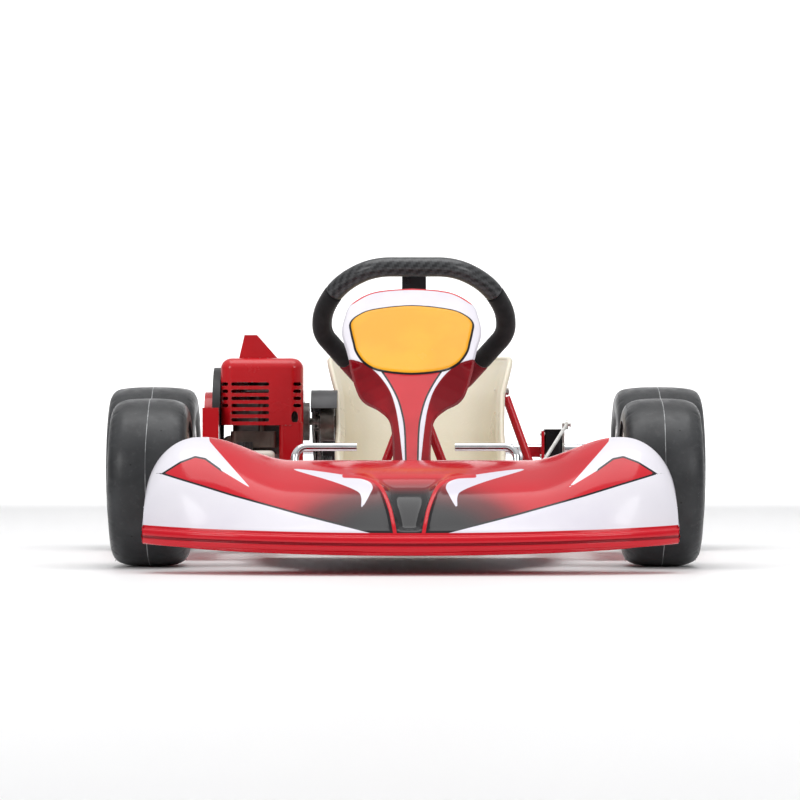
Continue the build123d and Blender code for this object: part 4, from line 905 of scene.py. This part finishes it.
def grip_piece(name, path, first, last, material):
    """Stretch of the rim's cover between two shares of the loop, with rounded ends."""
    count = len(path)
    indices = list(range(round(first * count), round(last * count) + 1))
    run = [path[i % count] for i in indices]
    ends = [min(k, len(run) - 1 - k) for k in range(len(run))]
    radii = [GRIP_RADIUS - 1.5 * (1 - min(e / 2, 1)) ** 2 for e in ends]
    sides = 40
    points, faces = tube(run, radii, sides, cap=True)
    piece = mesh_piece(name, points, faces, "steering", ["steering_grip"])
    uv = piece.data.uv_layers.new(name="UVMap")
    for loop in piece.data.loops:
        row, column = divmod(loop.vertex_index, sides)
        uv.data[loop.index].uv = (row / count * 1.6, column / sides)
    piece.data.materials.append(material)
    return piece


def stitches(path, first, last, count):
    """Lacing along the inner side of the rim cover."""
    parts = []
    total = len(path)
    for step in range(count):
        share = first + (last - first) * step / count
        index = round(share * total)
        here = path[index % total]
        tangent = (path[(index + 2) % total] - path[(index - 2) % total]).normalized()
        inward = (WHEEL_AT - here)
        inward = (inward - tangent * inward.dot(tangent)).normalized()
        across = tangent.cross(inward)
        arc = [here + (inward * cos(a) + across * sin(a)) * (GRIP_RADIUS + 0.25) + tangent * a * 5
               for a in np.linspace(-0.22, 0.22, 5)]
        parts.append(tube(arc, 0.55, 6, cap=True))
    return join_lists(parts)


path = wheel_path()
black_suede = suede("black_suede", (0.022, 0.022, 0.024, 1), (0.010, 0.010, 0.011, 1))
red_suede = suede("red_suede", (0.32, 0.012, 0.025, 1), (0.20, 0.008, 0.016, 1))
weave = carbon_weave()
SEAM_TOP, SEAM_LOW = 0.165, 0.345
grip_piece("grip_top", path, -SEAM_TOP, SEAM_TOP, weave)
grip_piece("grip_left", path, SEAM_TOP, SEAM_LOW, black_suede)
grip_piece("grip_right", path, 1 - SEAM_LOW, 1 - SEAM_TOP, black_suede)
grip_piece("grip_lower", path, SEAM_LOW, 1 - SEAM_LOW, red_suede)
lacing_points, lacing_faces = stitches(path, SEAM_TOP, 1 - SEAM_TOP, 110)
lacing = mesh_piece("grip_lacing", lacing_points, lacing_faces, "steering")
lacing.data.materials.append(thread())


# ---- Floor, light and camera -------------------------------------------------------------
def floor():
    mesh = bpy.data.meshes.new("floor")
    reach, back, rise, curve = 14.0, 6.0, 7.0, 3.0
    profile = [(-12.0, 0.0), (back, 0.0)]
    profile += [(back + curve * sin(a), curve * (1 - cos(a))) for a in np.linspace(0.1, pi / 2, 14)]
    profile.append((back + curve, rise))
    points = [(x, y, z) for y, z in profile for x in (-reach, reach)]
    mesh.from_pydata(points, [], grid_faces(len(profile), 2))
    mesh.shade_smooth()
    piece = bpy.data.objects.new("floor", mesh)
    bpy.context.collection.objects.link(piece)
    paint = Paint("studio_floor", Specular_IOR_Level=0.3)
    tone = paint.mix(paint.step(paint.noise(0.8, 3), 0.3, 0.7),
                     (0.90, 0.90, 0.905, 1), (0.885, 0.885, 0.89, 1))
    mesh.materials.append(paint.finish(tone, 0.5))


def area_light(name, at, aim, size, power, shape="RECTANGLE", size_y=None):
    data = bpy.data.lights.new(name, "AREA")
    data.shape = shape
    data.size = size
    data.size_y = size_y or size
    data.energy = power
    light = bpy.data.objects.new(name, data)
    bpy.context.collection.objects.link(light)
    light.location = at
    light.rotation_euler = (Vector(aim) - Vector(at)).to_track_quat("-Z", "Y").to_euler()


def studio():
    floor()
    world = bpy.data.worlds.new("studio")
    bpy.context.scene.world = world
    world.use_nodes = True
    tree = world.node_tree
    sky = tree.nodes.new("ShaderNodeValToRGB")
    spot = tree.nodes.new("ShaderNodeTexCoord")
    axes = tree.nodes.new("ShaderNodeSeparateXYZ")
    tree.links.new(spot.outputs["Generated"], axes.inputs[0])
    tree.links.new(axes.outputs[2], sky.inputs[0])
    tree.links.new(sky.outputs[0], tree.nodes["Background"].inputs[0])
    for index, (place, tone) in enumerate(((0.0, 0.25), (0.35, 0.45))):
        sky.color_ramp.elements[index].position = place
        sky.color_ramp.elements[index].color = (tone, tone, tone, 1)
    top = sky.color_ramp.elements.new(0.9)
    top.color = (1, 1, 1, 1)
    tree.nodes["Background"].inputs[1].default_value = 0.85
    area_light("overhead", (0, -0.2, 3.4), (0, 0, 0.2), 3.6, 62, size_y=2.4)
    area_light("front_left", (-2.8, -3.4, 1.9), (0, 0, 0.2), 1.6, 36, size_y=1.6)
    area_light("front_right", (2.8, -3.4, 1.9), (0, 0, 0.2), 1.6, 36, size_y=1.6)
    area_light("backdrop", (0, 4.5, 3.2), (0, 9.0, 1.6), 6.0, 260, size_y=2.0)


def camera():
    data = bpy.data.cameras.new("photo_camera")
    data.lens = 163.3
    data.sensor_width = 36
    data.shift_x = -0.00725
    data.shift_y = 0.02625
    data.clip_end = 60
    eye = bpy.data.objects.new("photo_camera", data)
    bpy.context.collection.objects.link(eye)
    eye.location = (0, -5.81, 0.22)
    eye.rotation_euler = (pi / 2, 0, 0)
    bpy.context.scene.camera = eye


studio()
camera()
bpy.context.scene.view_settings.view_transform = "Standard"
